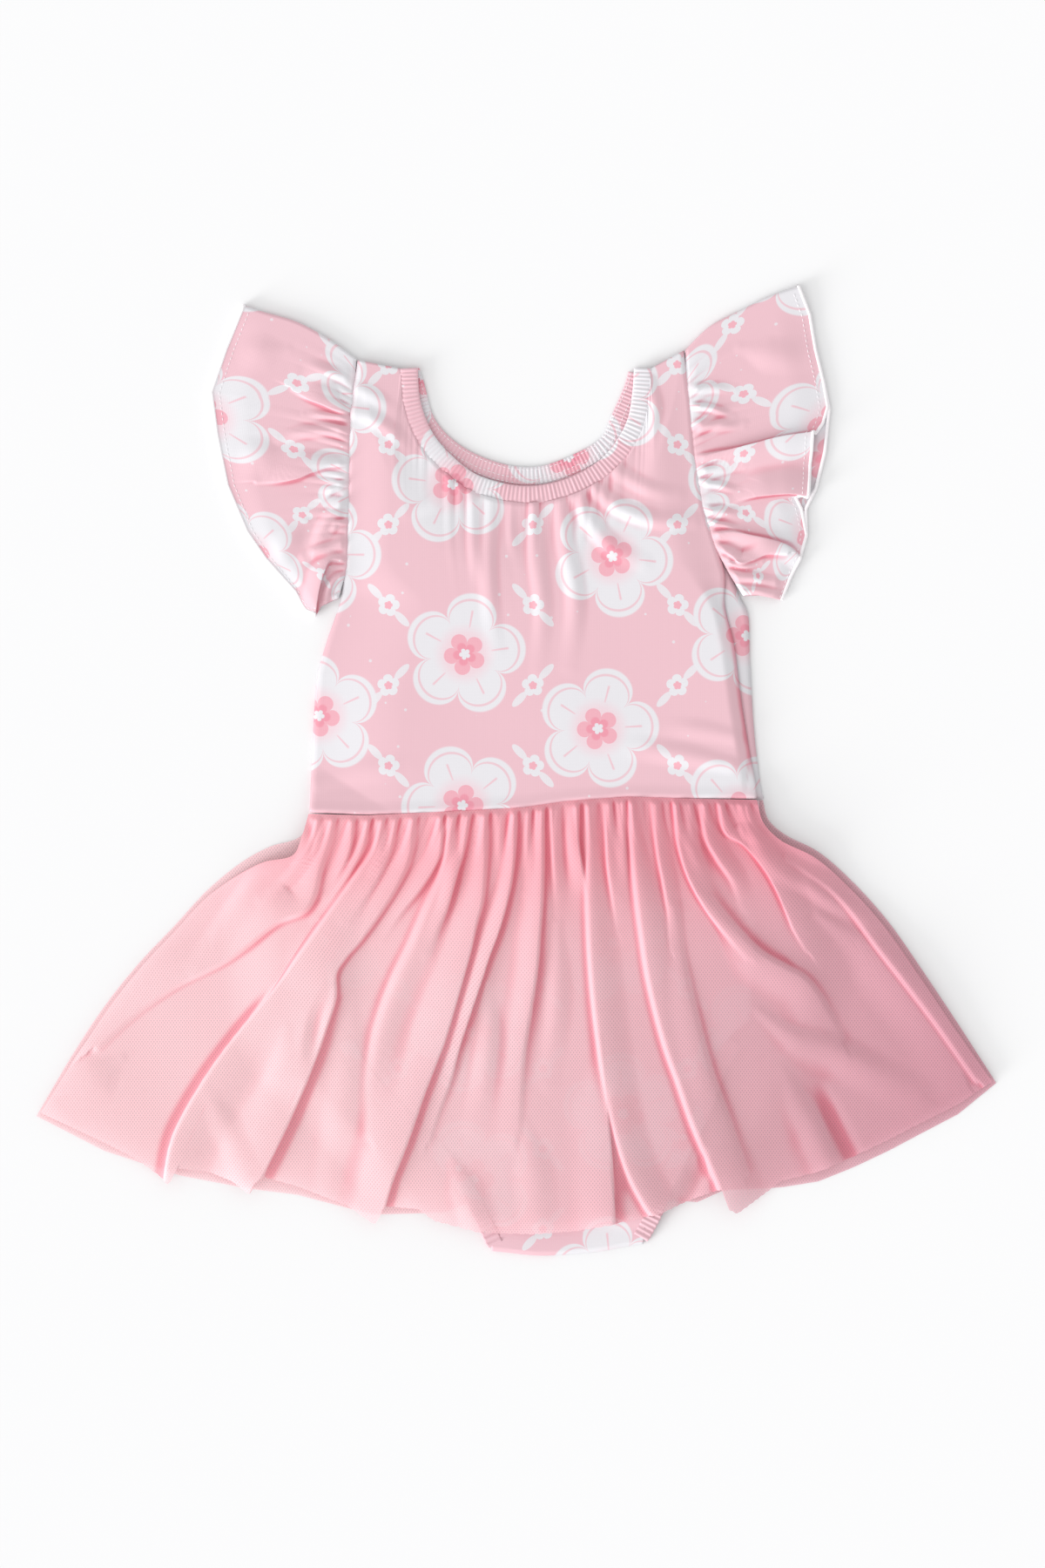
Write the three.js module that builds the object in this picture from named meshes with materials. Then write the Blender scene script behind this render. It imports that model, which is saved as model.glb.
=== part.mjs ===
import * as THREE from 'three';

// A toddler's flutter-sleeve leotard with a mesh skirt, laid flat and face up, in millimetres.
// +Y runs to the neck and +Z up off the surface. Left and right are as seen from above.
// The origin is the middle of the waist seam, on the surface that the garment lies on.

// Driving sizes of the cloth
const knitWall = 1.0;
const gatheredWall = 1.2;
const meshWall = 1.4;
const seamGap = 0.3;
const neckBandWidth = 9;
const legBandWidth = 8;

// Heights of the layers that lie on each other
const restOnBack = knitWall + seamGap;
const restOnBriefBack = restOnBack + knitWall + seamGap;
const restOnBrief = restOnBriefBack + knitWall + seamGap;
const sleeveFrontRest = 1.8;
const neckBandRest = 2.9;

// Gathers, ribs and how high they stand
const waistGathers = { count: 48, rise: 2.3 };
const neckGathers = { count: 22, rise: 0.9, reach: 0.3 };
const sleeveGathers = { count: 16, rise: 2.0, reach: 0.45 };
const neckRibs = { frontCount: 52, backCount: 30, rise: 0.5 };

// Plan outlines: each row is a point [x, y] on the edge
const waistSeam = [
  [-112, -3.6], [-83.5, -4.8], [-48.7, -3.5], [-5.2, -1.2], [16.5, 2], [47, 4.3], [73, 3.5], [116, 3.2],
];
const frontNeck = [
  [-57.4, 219.1], [-56.1, 202.2], [-50, 186.1], [-40, 174.3], [-27, 164.8], [-5.2, 159.6],
  [12.2, 161.7], [27.4, 168.3], [37, 176.1], [46.6, 191.3], [49.6, 206.5], [50.4, 219.1],
];
const backNeck = [
  [-57, 219.1], [-54.3, 210.9], [-48.7, 192.6], [-35.7, 179.6], [-13.9, 170.4], [3.5, 169.6],
  [20.9, 175.7], [33.9, 183.9], [39.6, 195.7], [46.1, 210.9], [47.8, 217.4],
];
const leftArmhole = [[-96.1, 102.2], [-93.9, 119.6], [-93, 150], [-92.2, 184.8], [-90.9, 197.8], [-87.4, 222.2]];
const rightArmhole = [[91.3, 130.4], [85.2, 150], [80.9, 176.1], [78.7, 202.2], [75.2, 227]];
const bodiceLeft = [[-111.3, -3.2], [-109.6, 37], [-107.4, 65.2], [-102.6, 82.6], ...leftArmhole];
const bodiceFrontRight = [
  [111.3, 3.6], [111, 10.9], [108.7, 23.9], [104.3, 50], [100.4, 80.4], [95.8, 100], [95.6, 116], ...rightArmhole,
];
const bodiceBackRight = [
  [115.2, 3.6], [113.9, 8.7], [110.4, 37], [108.3, 71.7], [107, 97], [103.6, 103.4], [99.1, 114.3], ...rightArmhole,
];
const legLeft = [[-100, -112], [-88, -135], [-70, -155], [-50, -175], [-35, -195], [-26, -213], [-22, -221.5]];
const legRight = [[107, -115], [95, -135], [90, -150], [80, -170], [70, -190], [63.5, -206], [57, -218]];
const briefSideLeft = [[-108.5, -4.4], [-104.5, -60], [-101.5, -104]];
const briefSideRight = [[113, 2.8], [111, -60], [108.5, -107]];
const crotchEdge = [[3.5, -224.3], [33.9, -222.2]];
const skirtBackLeft = [
  [-111.3, -4], [-116.1, -15.2], [-131.3, -20.4], [-144.3, -27.4], [-161.7, -41.3], [-179.1, -60],
  [-196.5, -78.3], [-213.9, -100], [-229.1, -123], [-240, -141.3], [-247.8, -154.8],
];
const skirtBackRight = [
  [114.8, 2.8], [117.4, -6.5], [125.2, -13.9], [142.6, -23], [160, -38.3], [177.4, -57.8],
  [194.8, -82.6], [212.2, -108.7], [231.3, -138.3],
];
const skirtBackHem = [
  [-247.8, -154.8], [-213.9, -172.2], [-176, -184.5], [-142, -191], [-118, -194], [-80, -204], [-45, -203],
  [-25, -196], [62, -196], [82, -197.8], [95, -192], [124, -190.4], [142.6, -187.4], [160, -180.4],
  [177.4, -172.2], [194.8, -163], [212.2, -153.9], [231.3, -138.3],
];
const skirtFrontLeft = [
  [-111.8, -4], [-115.3, -16], [-119.5, -24.5], [-134, -28], [-147, -34.5], [-163, -46], [-178.6, -62.5],
  [-195.6, -80.6], [-212.6, -101.8], [-227.6, -124.3], [-238.6, -142], [-245.6, -153],
];
const skirtFrontRight = [
  [111.5, 3], [114.6, -8], [122.6, -16.6], [140.8, -26], [158, -41], [175.2, -60.2], [192.6, -85], [210, -110.6],
  [229, -137.4],
];
const skirtFrontHem = [
  [-245.6, -153], [-213.9, -167.8], [-196.5, -176.8], [-180.4, -188.8], [-176.1, -180.6], [-161.7, -182.4],
  [-150, -187], [-142.2, -193], [-135.7, -184.6], [-118.3, -189.4], [-92.2, -199.4], [-80, -208.2],
  [-76.1, -199.4], [-57.4, -200.8], [-48.7, -206.8], [-25.7, -212.6], [0, -213.4], [20, -212], [38, -208.6],
  [52, -206], [65.2, -202], [81.7, -195], [94.8, -190.4], [98.3, -200.4], [102.6, -202.6], [116.5, -192.6],
  [123.9, -187], [142.6, -182.4], [160, -174.8], [177.4, -166.4], [194.8, -157.4], [212.2, -148.8], [229, -137.4],
];

// Where each stretch of gathered waist goes on the hem: columns are x at the waist, x at the hem
const skirtFlow = [
  [-111.8, -245.6], [-83.5, -207], [-72.6, -180.4], [-44, -142.2], [-22.6, -80], [-6, -45], [4, -8],
  [23, 50], [48, 98.3], [66.5, 130], [76, 172], [88, 200], [111.5, 229],
];

// One row for each fold of the skirt front: the crest's path, the rise at its start, middle and end,
// and how far the cloth takes to fall away to the left and to the right of the crest
const skirtFolds = [
  {
    path: [[-100.9, -6], [-106, -18], [-118, -27], [-137, -34], [-155, -54]],
    rise: [0.5, 1.6, 0.2], left: 9, right: 6,
  },
  {
    path: [[-88, -6], [-98, -30], [-122, -50], [-160, -72], [-205, -104]],
    rise: [0.8, 2.2, 1.2], left: 22, right: 9,
  },
  {
    path: [[-72.6, -6], [-92, -38], [-114, -70], [-136, -100], [-162, -132], [-182, -188]],
    rise: [1, 2.6, 3], left: 30, right: 6,
  },
  {
    path: [[-44, -6], [-59, -27], [-76, -52], [-94, -77], [-103, -105], [-119, -150], [-139, -189]],
    rise: [1.5, 4, 4.2], left: 32, right: 6,
  },
  {
    path: [[-38, -6], [-48, -33], [-58, -54], [-68, -84], [-75, -110]],
    rise: [1, 1.8, 0], left: 9, right: 7,
  },
  {
    path: [[-22, -6], [-26, -33], [-33, -62], [-43, -95], [-52, -125], [-64, -160], [-77, -204]],
    rise: [1, 3.2, 4.4], left: 34, right: 6,
  },
  {
    path: [[-6, -4], [-10, -27], [-16, -58], [-26, -88], [-38, -118], [-46, -145]],
    rise: [1, 3, 0.4], left: 11, right: 6,
  },
  {
    path: [[1, -3], [1, -33], [1, -62], [-2, -92], [-6, -125]],
    rise: [0.8, 2.4, 0.4], left: 13, right: 6,
  },
  {
    path: [[12, 0], [20, -33], [29, -60], [31, -90]],
    rise: [0.8, 1.8, 0.2], left: 5, right: 10,
  },
  {
    path: [[23, 0], [30, -33], [32, -76], [36, -115], [40, -150], [46, -178], [57, -204]],
    rise: [1, 2.6, 2.2], left: 5, right: 15,
  },
  {
    path: [[48, 1], [52, -33], [58, -70], [68, -108], [79, -143], [90, -175], [101, -202]],
    rise: [1, 3.6, 4.2], left: 6, right: 34,
  },
  {
    path: [[66, 1], [72, -27], [75, -60], [80, -92], [86, -120], [94, -148]],
    rise: [1, 2.6, 0.4], left: 5, right: 13,
  },
  {
    path: [[75, 1], [82, -18], [93, -42], [109, -68], [128, -84], [148, -104], [170, -134]],
    rise: [1, 3.2, 1.4], left: 20, right: 9,
  },
  {
    path: [[88, 1], [99, -14], [113, -27], [125, -42], [134, -60], [152, -82]],
    rise: [1, 2.8, 0.6], left: 7, right: 13,
  },
  {
    path: [[99, 0], [112, -14], [128, -25], [147, -35], [166, -50]],
    rise: [0.8, 2, 0.4], left: 6, right: 10,
  },
  {
    path: [[-205, -112], [-222, -132], [-236, -150]],
    rise: [0.4, 1.4, 0.6], left: 12, right: 14,
  },
  {
    path: [[120, -100], [138, -135], [150, -178]],
    rise: [0.2, 1.6, 1.4], left: 18, right: 14,
  },
  {
    path: [[168, -72], [190, -100], [208, -138]],
    rise: [0.4, 1.8, 1.2], left: 16, right: 16,
  },
];

// Soft folds of the bodice front, in the same columns
const bodiceFolds = [
  {
    path: [[-20, 120], [-18, 100], [-14, 80]],
    rise: [0.3, 0.9, 0.2], left: 8, right: 8,
  },
  {
    path: [[10, 138], [15, 110], [19, 72]],
    rise: [0.6, 1.0, 0.2], left: 9, right: 9,
  },
  {
    path: [[36, 158], [55, 146], [80, 142]],
    rise: [0.9, 1.1, 0.4], left: 7, right: 9,
  },
  {
    path: [[-84, 196], [-74, 192], [-62, 184]],
    rise: [0.6, 0.8, 0.2], left: 6, right: 7,
  },
  {
    path: [[-86, 210], [-76, 206], [-68, 199]],
    rise: [0.4, 0.6, 0.1], left: 5, right: 5,
  },
  {
    path: [[96, 20], [70, 26], [42, 30]],
    rise: [0.7, 0.8, 0.1], left: 8, right: 8,
  },
  {
    path: [[62, 214], [66, 200], [60, 186]],
    rise: [0.6, 0.9, 0.2], left: 6, right: 5,
  },
];

// Left sleeve: the folded top edge, the lower edge, and the free hem of each layer
const leftSleeveTop = [[-88.1, 221.4], [-101.2, 230.8], [-118, 239.9], [-134.8, 245], [-144.6, 248.2]];
const leftSleeveFrontHem = [
  [-144.6, 248.2], [-153, 228], [-160.4, 206.5], [-157.6, 185.4], [-152.4, 159.8], [-142.6, 136.8],
  [-133.4, 123.4], [-118.6, 107], [-113.5, 97.5], [-108.3, 94.8],
];
const leftSleeveBackHem = [
  [-144.6, 248.2], [-153, 228], [-160.4, 206.5], [-157.9, 184.8], [-153.9, 158.7], [-144.3, 134.8],
  [-135.7, 120.4], [-118.3, 103], [-111, 97.5], [-108.3, 97],
];
const leftSleeveLower = [[-96.9, 103.4], [-101, 101.8], [-105.4, 99.4], [-108.3, 94.8]];
const leftSleeveFolds = [
  {
    path: [[-94, 210], [-106, 212], [-126, 214]],
    rise: [1.2, 1.2, 0.2], left: 14, right: 10,
  },
  {
    path: [[-94, 191], [-108, 195], [-124, 202]],
    rise: [1.2, 1.6, 0.2], left: 7, right: 5,
  },
  {
    path: [[-94, 178], [-112, 176], [-140, 166]],
    rise: [1.4, 2.6, 1.2], left: 5, right: 11,
  },
  {
    path: [[-94, 172], [-110, 168], [-127, 163]],
    rise: [1.2, 1.8, 0.4], left: 4, right: 8,
  },
  {
    path: [[-95, 154], [-106, 148], [-120, 134], [-132, 126]],
    rise: [1.2, 2.2, 0.6], left: 8, right: 9,
  },
  {
    path: [[-95, 138], [-104, 130], [-112, 117]],
    rise: [1.2, 2.4, 0.8], left: 6, right: 6,
  },
  {
    path: [[-97, 119], [-105, 117], [-111, 108], [-111, 98]],
    rise: [0.8, 3.2, 2.2], left: 4, right: 6,
  },
];

// Right sleeve: three pleats that overlap down the armhole
const rightSleeveTop = [[76, 226], [88.6, 237.8], [103.8, 245.6], [118.7, 252.8], [133, 257.8]];
const rightSleeveFrontHem = [
  [133, 257.8], [138, 245], [140.8, 228], [145, 211], [147, 199], [144.6, 191], [139.8, 184], [138.2, 170],
  [137.6, 156], [131, 154], [134, 148], [136.4, 135], [133.4, 124.4], [128, 113], [123.9, 102.6],
];
const rightSleeveBackHem = [
  [133, 257.8], [138, 245], [140.8, 228], [145, 211], [147.8, 198], [145.6, 176], [141, 158], [136, 148],
  [136.4, 135], [133.4, 124.4], [128, 113], [123.9, 104.8],
];
const rightSleeveLower = [[104.8, 104.6], [112.2, 105], [123.9, 102.6]];
const rightSleeveFolds = [
  {
    path: [[82, 192], [100, 198], [122, 200]],
    rise: [1.2, 1.0, 0.2], left: 8, right: 6,
  },
  {
    path: [[83, 181], [106, 184], [126, 190], [147, 200]],
    rise: [1.6, 3.4, 3.0], left: 16, right: 5,
  },
  {
    path: [[86, 157], [104, 158], [124, 157], [138, 158]],
    rise: [1.6, 3.0, 2.6], left: 13, right: 4,
  },
  {
    path: [[90, 138], [106, 136], [122, 130], [134, 126]],
    rise: [1.6, 2.8, 1.8], left: 9, right: 4,
  },
  {
    path: [[95, 126], [106, 122], [124, 118]],
    rise: [1.4, 2.4, 0.6], left: 5, right: 4,
  },
  {
    path: [[100, 115], [112, 112], [124, 106]],
    rise: [1.2, 2.2, 1.2], left: 6, right: 6,
  },
];

// Cloth colours
const knitPink = new THREE.MeshStandardMaterial({ color: 0xf8c9d3, roughness: 0.62, metalness: 0 });
const meshPink = new THREE.MeshStandardMaterial({ color: 0xeeb0bf, roughness: 0.8, metalness: 0 });

// Small number helpers
const limit = (t) => THREE.MathUtils.clamp(t, 0, 1);
const smooth = (t) => THREE.MathUtils.smoothstep(t, 0, 1);
const mix = THREE.MathUtils.lerp;

// An uneven value from 0 to 1 for each whole number
function uneven(k) {
  const wave = Math.sin(12.9898 * k + 4.1) * 43758.5453;
  return wave - Math.floor(wave);
}

// The second column of a table at a value of its first, straight between rows
function readTable(rows, x) {
  let k = 1;
  while (k < rows.length - 1 && rows[k][0] < x) k += 1;
  const [x0, y0] = rows[k - 1];
  const [x1, y1] = rows[k];
  return mix(y0, y1, limit((x - x0) / (x1 - x0)));
}

// A smooth plan curve through the rows of a table, by the share of its length
function curveAlong(rows) {
  const curve = new THREE.CatmullRomCurve3(rows.map(([x, y]) => new THREE.Vector3(x, y, 0)), false, 'centripetal');
  return (t) => {
    const point = curve.getPointAt(limit(t));
    return [point.x, point.y];
  };
}

// The same with straight runs between the rows, so that corners stay sharp
function linesAlong(rows) {
  const reach = [0];
  for (let k = 1; k < rows.length; k += 1) {
    reach.push(reach[k - 1] + Math.hypot(rows[k][0] - rows[k - 1][0], rows[k][1] - rows[k - 1][1]));
  }
  const whole = reach[reach.length - 1];
  return (t) => {
    const length = limit(t) * whole;
    return [0, 1].map((axis) => readTable(rows.map((row, k) => [reach[k], row[axis]]), length));
  };
}

// A point beside a curve, a distance to the right of its travel
function beside(curve, t, distance) {
  const step = 0.01;
  const [x0, y0] = curve(t - step);
  const [x1, y1] = curve(t + step);
  const [x, y] = curve(t);
  const length = Math.hypot(x1 - x0, y1 - y0);
  return [x + (distance * (y1 - y0)) / length, y - (distance * (x1 - x0)) / length];
}

// Plan position in a four-sided panel: straight from the high edge to the low one, and drawn to the shape
// of the side edges near them. v runs from the high edge to the low one
function panelPoint({ high, low, left, right, hold = 1 }, u, v) {
  return [0, 1].map((axis) => {
    const ruled = (share) => mix(high(share)[axis], low(share)[axis], v);
    const toLeft = (1 - u) ** hold * (left(v)[axis] - ruled(0));
    const toRight = u ** hold * (right(v)[axis] - ruled(1));
    return ruled(u) + toLeft + toRight;
  });
}

// Points along a fold's crest, each with its direction and its share of the way
function crestOf(fold) {
  const steps = 28;
  const curve = curveAlong(fold.path);
  const crest = [];
  for (let k = 0; k <= steps; k += 1) {
    const t = k / steps;
    const [x, y] = curve(t);
    const [x0, y0] = curve(t - 0.01);
    const [x1, y1] = curve(t + 0.01);
    const length = Math.hypot(x1 - x0, y1 - y0);
    crest.push({ x, y, t, dx: (x1 - x0) / length, dy: (y1 - y0) / length });
  }
  return { ...fold, crest };
}

// Height that a table of folds adds at a plan position
function foldHeight(folds, x, y) {
  let height = 0;
  for (const { crest, rise, left, right } of folds) {
    const away = (point) => (x - point.x) ** 2 + (y - point.y) ** 2;
    const near = crest.reduce((best, point) => (away(point) < away(best) ? point : best));
    const ahead = (x - near.x) * near.dx + (y - near.y) * near.dy;
    const beyond = near.t === 0 || near.t === 1 ? Math.abs(ahead) : 0;
    const aside = near.dx * (y - near.y) - near.dy * (x - near.x);
    const spread = Math.hypot(aside, beyond) / (aside > 0 ? right : left);
    const toMiddle = mix(rise[0], rise[1], smooth(near.t * 2));
    const share = near.t < 0.5 ? toMiddle : mix(rise[1], rise[2], smooth(near.t * 2 - 1));
    height += spread < 1 ? share * (0.5 + 0.5 * Math.cos(Math.PI * spread)) : 0;
  }
  return height;
}

// A row of gathers: rounded ridges that are uneven in height and die away down the cloth
function gatherHeight(count, rise, reach, u, v) {
  const phase = limit(u) * count;
  const number = Math.floor(phase);
  const ridge = 0.5 - 0.5 * Math.cos(2 * Math.PI * phase);
  const fade = Math.exp(-((v / (reach * (0.45 + uneven(number + 50)))) ** 1.4));
  return rise * (0.5 + 0.5 * uneven(number)) * ridge * fade;
}

// A closed wall between a grid of outer points and the matching grid of inner points;
// a ring joins its last row to its first
function wallBetween(outer, inner, ring = false) {
  const rows = outer.length;
  const columns = outer[0].length;
  const index = [];
  const quad = (a, b, c, d) => index.push(a, b, c, a, c, d);
  const over = (i, j) => (i % rows) * columns + j;
  const under = (i, j) => rows * columns + over(i, j);
  const strips = ring ? rows : rows - 1;
  const last = columns - 1;
  for (let i = 0; i < strips; i += 1) {
    for (let j = 0; j < last; j += 1) {
      quad(over(i, j), over(i + 1, j), over(i + 1, j + 1), over(i, j + 1));
      quad(under(i, j), under(i, j + 1), under(i + 1, j + 1), under(i + 1, j));
    }
    quad(over(i, 0), under(i, 0), under(i + 1, 0), over(i + 1, 0));
    quad(over(i, last), over(i + 1, last), under(i + 1, last), under(i, last));
  }
  for (let j = 0; !ring && j < last; j += 1) {
    quad(over(0, j), over(0, j + 1), under(0, j + 1), under(0, j));
    quad(over(strips, j), under(strips, j), under(strips, j + 1), over(strips, j + 1));
  }
  const points = [...outer.flat(), ...inner.flat()].map(([x, y, z]) => new THREE.Vector3(x, y, z));
  let volume = 0;
  for (let k = 0; k < index.length; k += 3) {
    volume += points[index[k]].dot(points[index[k + 1]].clone().cross(points[index[k + 2]]));
  }
  if (volume < 0) index.reverse();
  const geometry = new THREE.BufferGeometry().setFromPoints(points);
  geometry.setIndex(index);
  geometry.computeVertexNormals();
  return geometry;
}

// A panel as a wall: plan places it, top gives the height of its upper face, and wall its thickness
function panelWall({ columns, rows, rowPower = 1, plan, top, wall }) {
  const outer = [];
  const inner = [];
  for (let i = 0; i <= columns; i += 1) {
    outer.push([]);
    inner.push([]);
    for (let j = 0; j <= rows; j += 1) {
      const u = i / columns;
      const v = (j / rows) ** rowPower;
      const [x, y] = plan(u, v);
      const z = top(x, y, u, v);
      outer[i].push([x, y, z]);
      inner[i].push([x, y, z - wall]);
    }
  }
  return wallBetween(outer, inner);
}

const waistY = (x) => readTable(waistSeam, x);
const onWaist = (x, below = 0) => [x, waistY(x) - below];

// The bodice panels: up from the waist seam to the shoulders and round the neck band
const frontNeckCurve = curveAlong(frontNeck);
const backNeckCurve = curveAlong(backNeck);

function bodicePlan(neckCurve, rightEdge, bandWidth) {
  const strap = 0.1;
  const left = curveAlong([...bodiceLeft].reverse());
  const right = curveAlong([...rightEdge].reverse());
  const neckEdge = (t) => beside(neckCurve, mix(0.004, 0.996, t), bandWidth + seamGap);
  const shoulderLeft = linesAlong([leftArmhole.at(-1), neckEdge(0)]);
  const shoulderRight = linesAlong([neckEdge(1), rightArmhole.at(-1)]);
  const high = (u) => {
    if (u <= strap) return shoulderLeft(u / strap);
    if (u >= 1 - strap) return shoulderRight((u - 1 + strap) / strap);
    return neckEdge((u - strap) / (1 - 2 * strap));
  };
  const waist = [[0, bodiceLeft[0][0]], [strap, -82], [1 - strap, 78], [1, rightEdge[0][0]]];
  const low = (u) => onWaist(readTable(waist, u));
  return (u, v) => panelPoint({ high, low, left, right }, u, v);
}

// Clear height under the bodice front: low along its sides and shoulders, and up over the brief at the waist
function bodiceRest(x, y) {
  const sideLeft = readTable(bodiceLeft.map(([edgeX, edgeY]) => [edgeY, edgeX]), y);
  const sideRight = readTable(bodiceFrontRight.map(([edgeX, edgeY]) => [edgeY, edgeX]), y);
  const fromSide = smooth(Math.min(x - sideLeft, sideRight - x) / 22);
  const fromShoulder = smooth((223 - y) / 16);
  const nearWaist = smooth(1 - (y - waistY(x)) / 26);
  return mix(restOnBack, restOnBrief + seamGap, Math.max(Math.min(fromSide, fromShoulder), nearWaist));
}

function bodiceFront() {
  const folds = bodiceFolds.map(crestOf);
  const columns = 2 * neckGathers.count + 11;
  return panelWall({
    columns,
    rows: 10,
    plan: bodicePlan(frontNeckCurve, bodiceFrontRight, neckBandWidth),
    top: (x, y, u, v) => {
      const round = (u - 0.1) / 0.8;
      const inNotch = round > 0 && round < 1 ? 1 : 0;
      const gathers = inNotch * gatherHeight(neckGathers.count, neckGathers.rise, neckGathers.reach, round, v);
      return bodiceRest(x, y) + gatheredWall + gathers + foldHeight(folds, x, y);
    },
    wall: gatheredWall,
  });
}

function bodiceBack() {
  return panelWall({
    columns: 26,
    rows: 10,
    plan: bodicePlan(backNeckCurve, bodiceBackRight, neckBandWidth + 0.9),
    top: () => knitWall,
    wall: knitWall,
  });
}

// An elastic neck band: a ribbed strip round the neck edge
function neckBand(neckCurve, width, ribs, rest, wall) {
  const columns = 2 * ribs;
  const outer = [];
  const inner = [];
  for (let i = 0; i <= columns; i += 1) {
    const t = mix(0.004, 0.996, i / columns);
    const rib = i % 2 === 1 ? neckRibs.rise : 0;
    const edges = [0, 0.5, 1].map((share) => beside(neckCurve, t, share * width));
    const swell = [0, 1, 0.6];
    const z = rest(edges[0][1]);
    outer.push(edges.map(([x, y], j) => [x, y, z + wall + rib * (0.4 + 0.6 * swell[j])]));
    inner.push(edges.map(([x, y]) => [x, y, z]));
  }
  return wallBetween(outer, inner);
}

const frontBandRest = (y) => mix(2.2, neckBandRest, smooth((219 - y) / 20));

// The brief: two flat panels under the skirt, with an elastic band round each leg opening
const legLeftCurve = curveAlong(legLeft);
const legRightCurve = curveAlong(legRight);

// The layers step down off the skirt back where the crotch shows below the hem
const crotchDrop = (y) => restOnBack * smooth((-204 - y) / 8);

function briefPanel(rest) {
  const inset = legBandWidth + seamGap + 1.1;
  const shares = [0.02, 0.15, 0.3, 0.45, 0.6, 0.75, 0.88, 1];
  const left = linesAlong([...briefSideLeft, ...shares.map((t) => beside(legLeftCurve, t, -inset))]);
  const right = linesAlong([...briefSideRight, ...shares.map((t) => beside(legRightCurve, t, inset))]);
  const crotch = curveAlong([left(1), ...crotchEdge, right(1)]);
  const high = (u) => onWaist(mix(briefSideLeft[0][0], briefSideRight[0][0], u), 0.7);
  return panelWall({
    columns: 8,
    rows: 11,
    plan: (u, v) => panelPoint({ high, low: crotch, left, right }, u, v),
    top: (x, y) => rest + knitWall - crotchDrop(y),
    wall: knitWall,
  });
}

function legBand(curve, inward) {
  const low = restOnBack;
  const high = restOnBriefBack + knitWall;
  const steps = 12;
  const middle = (low + high) / 2;
  const loop = (radius) => {
    const path = [];
    for (let k = 0; k <= steps; k += 1) path.push({ t: mix(0.06, 0.985, k / steps), out: 0, z: middle - radius });
    for (const turn of [-0.25, 0, 0.25]) {
      path.push({ t: 0.985, out: radius * Math.cos(Math.PI * turn), z: middle + radius * Math.sin(Math.PI * turn) });
    }
    for (let k = steps; k >= 0; k -= 1) path.push({ t: mix(0.06, 0.985, k / steps), out: 0, z: middle + radius });
    for (const turn of [0.25, 0, -0.25]) {
      path.push({ t: 0.06, out: -radius * Math.cos(Math.PI * turn), z: middle + radius * Math.sin(Math.PI * turn) });
    }
    return path;
  };
  const place = ({ t, out, z }, share) => {
    const [x0, y0] = curve(t - 0.01);
    const [x1, y1] = curve(t + 0.01);
    const length = Math.hypot(x1 - x0, y1 - y0);
    const [x, y] = beside(curve, t, inward * share * legBandWidth);
    const placedY = y + (out * (y1 - y0)) / length;
    return [x + (out * (x1 - x0)) / length, placedY, z - crotchDrop(placedY)];
  };
  const grid = (radius) => loop(radius).map((point) => [0, 1].map((share) => place(point, share)));
  return wallBetween(grid((high - low) / 2), grid((high - low) / 2 - knitWall), true);
}

// The skirt: a flat back layer, and a gathered front layer that rides over the brief
function skirtBack() {
  const high = (u) => onWaist(mix(skirtBackLeft[0][0], skirtBackRight[0][0], u), 0.4);
  const low = (u) => {
    const x = mix(skirtBackHem[0][0], skirtBackHem.at(-1)[0], u);
    return [x, readTable(skirtBackHem, x)];
  };
  const edges = { high, low, left: curveAlong(skirtBackLeft), right: curveAlong(skirtBackRight) };
  return panelWall({
    columns: 26,
    rows: 8,
    plan: (u, v) => panelPoint(edges, u, v),
    top: () => knitWall,
    wall: knitWall,
  });
}

// Clear height under the skirt front: up over the brief, and down onto the skirt back beside it
function skirtRest(x, y) {
  const outlineLeft = [...briefSideLeft, ...legLeft].map(([edgeX, edgeY]) => [-edgeY, edgeX]);
  const outlineRight = [...briefSideRight, ...legRight].map(([edgeX, edgeY]) => [-edgeY, edgeX]);
  const outside = Math.max(readTable(outlineLeft, -y) - x, x - readTable(outlineRight, -y), 0);
  return mix(restOnBrief, restOnBack, smooth((outside - 22) / 30));
}

function skirtFront() {
  const folds = skirtFolds.map(crestOf);
  const waistX = (u) => mix(skirtFrontLeft[0][0], skirtFrontRight[0][0], u);
  const high = (u) => onWaist(waistX(u), 0.4);
  const low = (u) => {
    const x = readTable(skirtFlow, waistX(u));
    return [x, readTable(skirtFrontHem, x)];
  };
  const edges = { high, low, left: curveAlong(skirtFrontLeft), right: curveAlong(skirtFrontRight), hold: 2.5 };
  return panelWall({
    columns: 2 * waistGathers.count,
    rows: 11,
    rowPower: 1.35,
    plan: (u, v) => panelPoint(edges, u, v),
    top: (x, y, u, v) => {
      const atSeam = 0.15 + 0.85 * smooth(v / 0.05);
      const gathers = atSeam * gatherHeight(waistGathers.count, waistGathers.rise, 0.28, u, v);
      return skirtRest(x, y) + meshWall + gathers + atSeam * foldHeight(folds, x, y);
    },
    wall: meshWall,
  });
}

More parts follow.
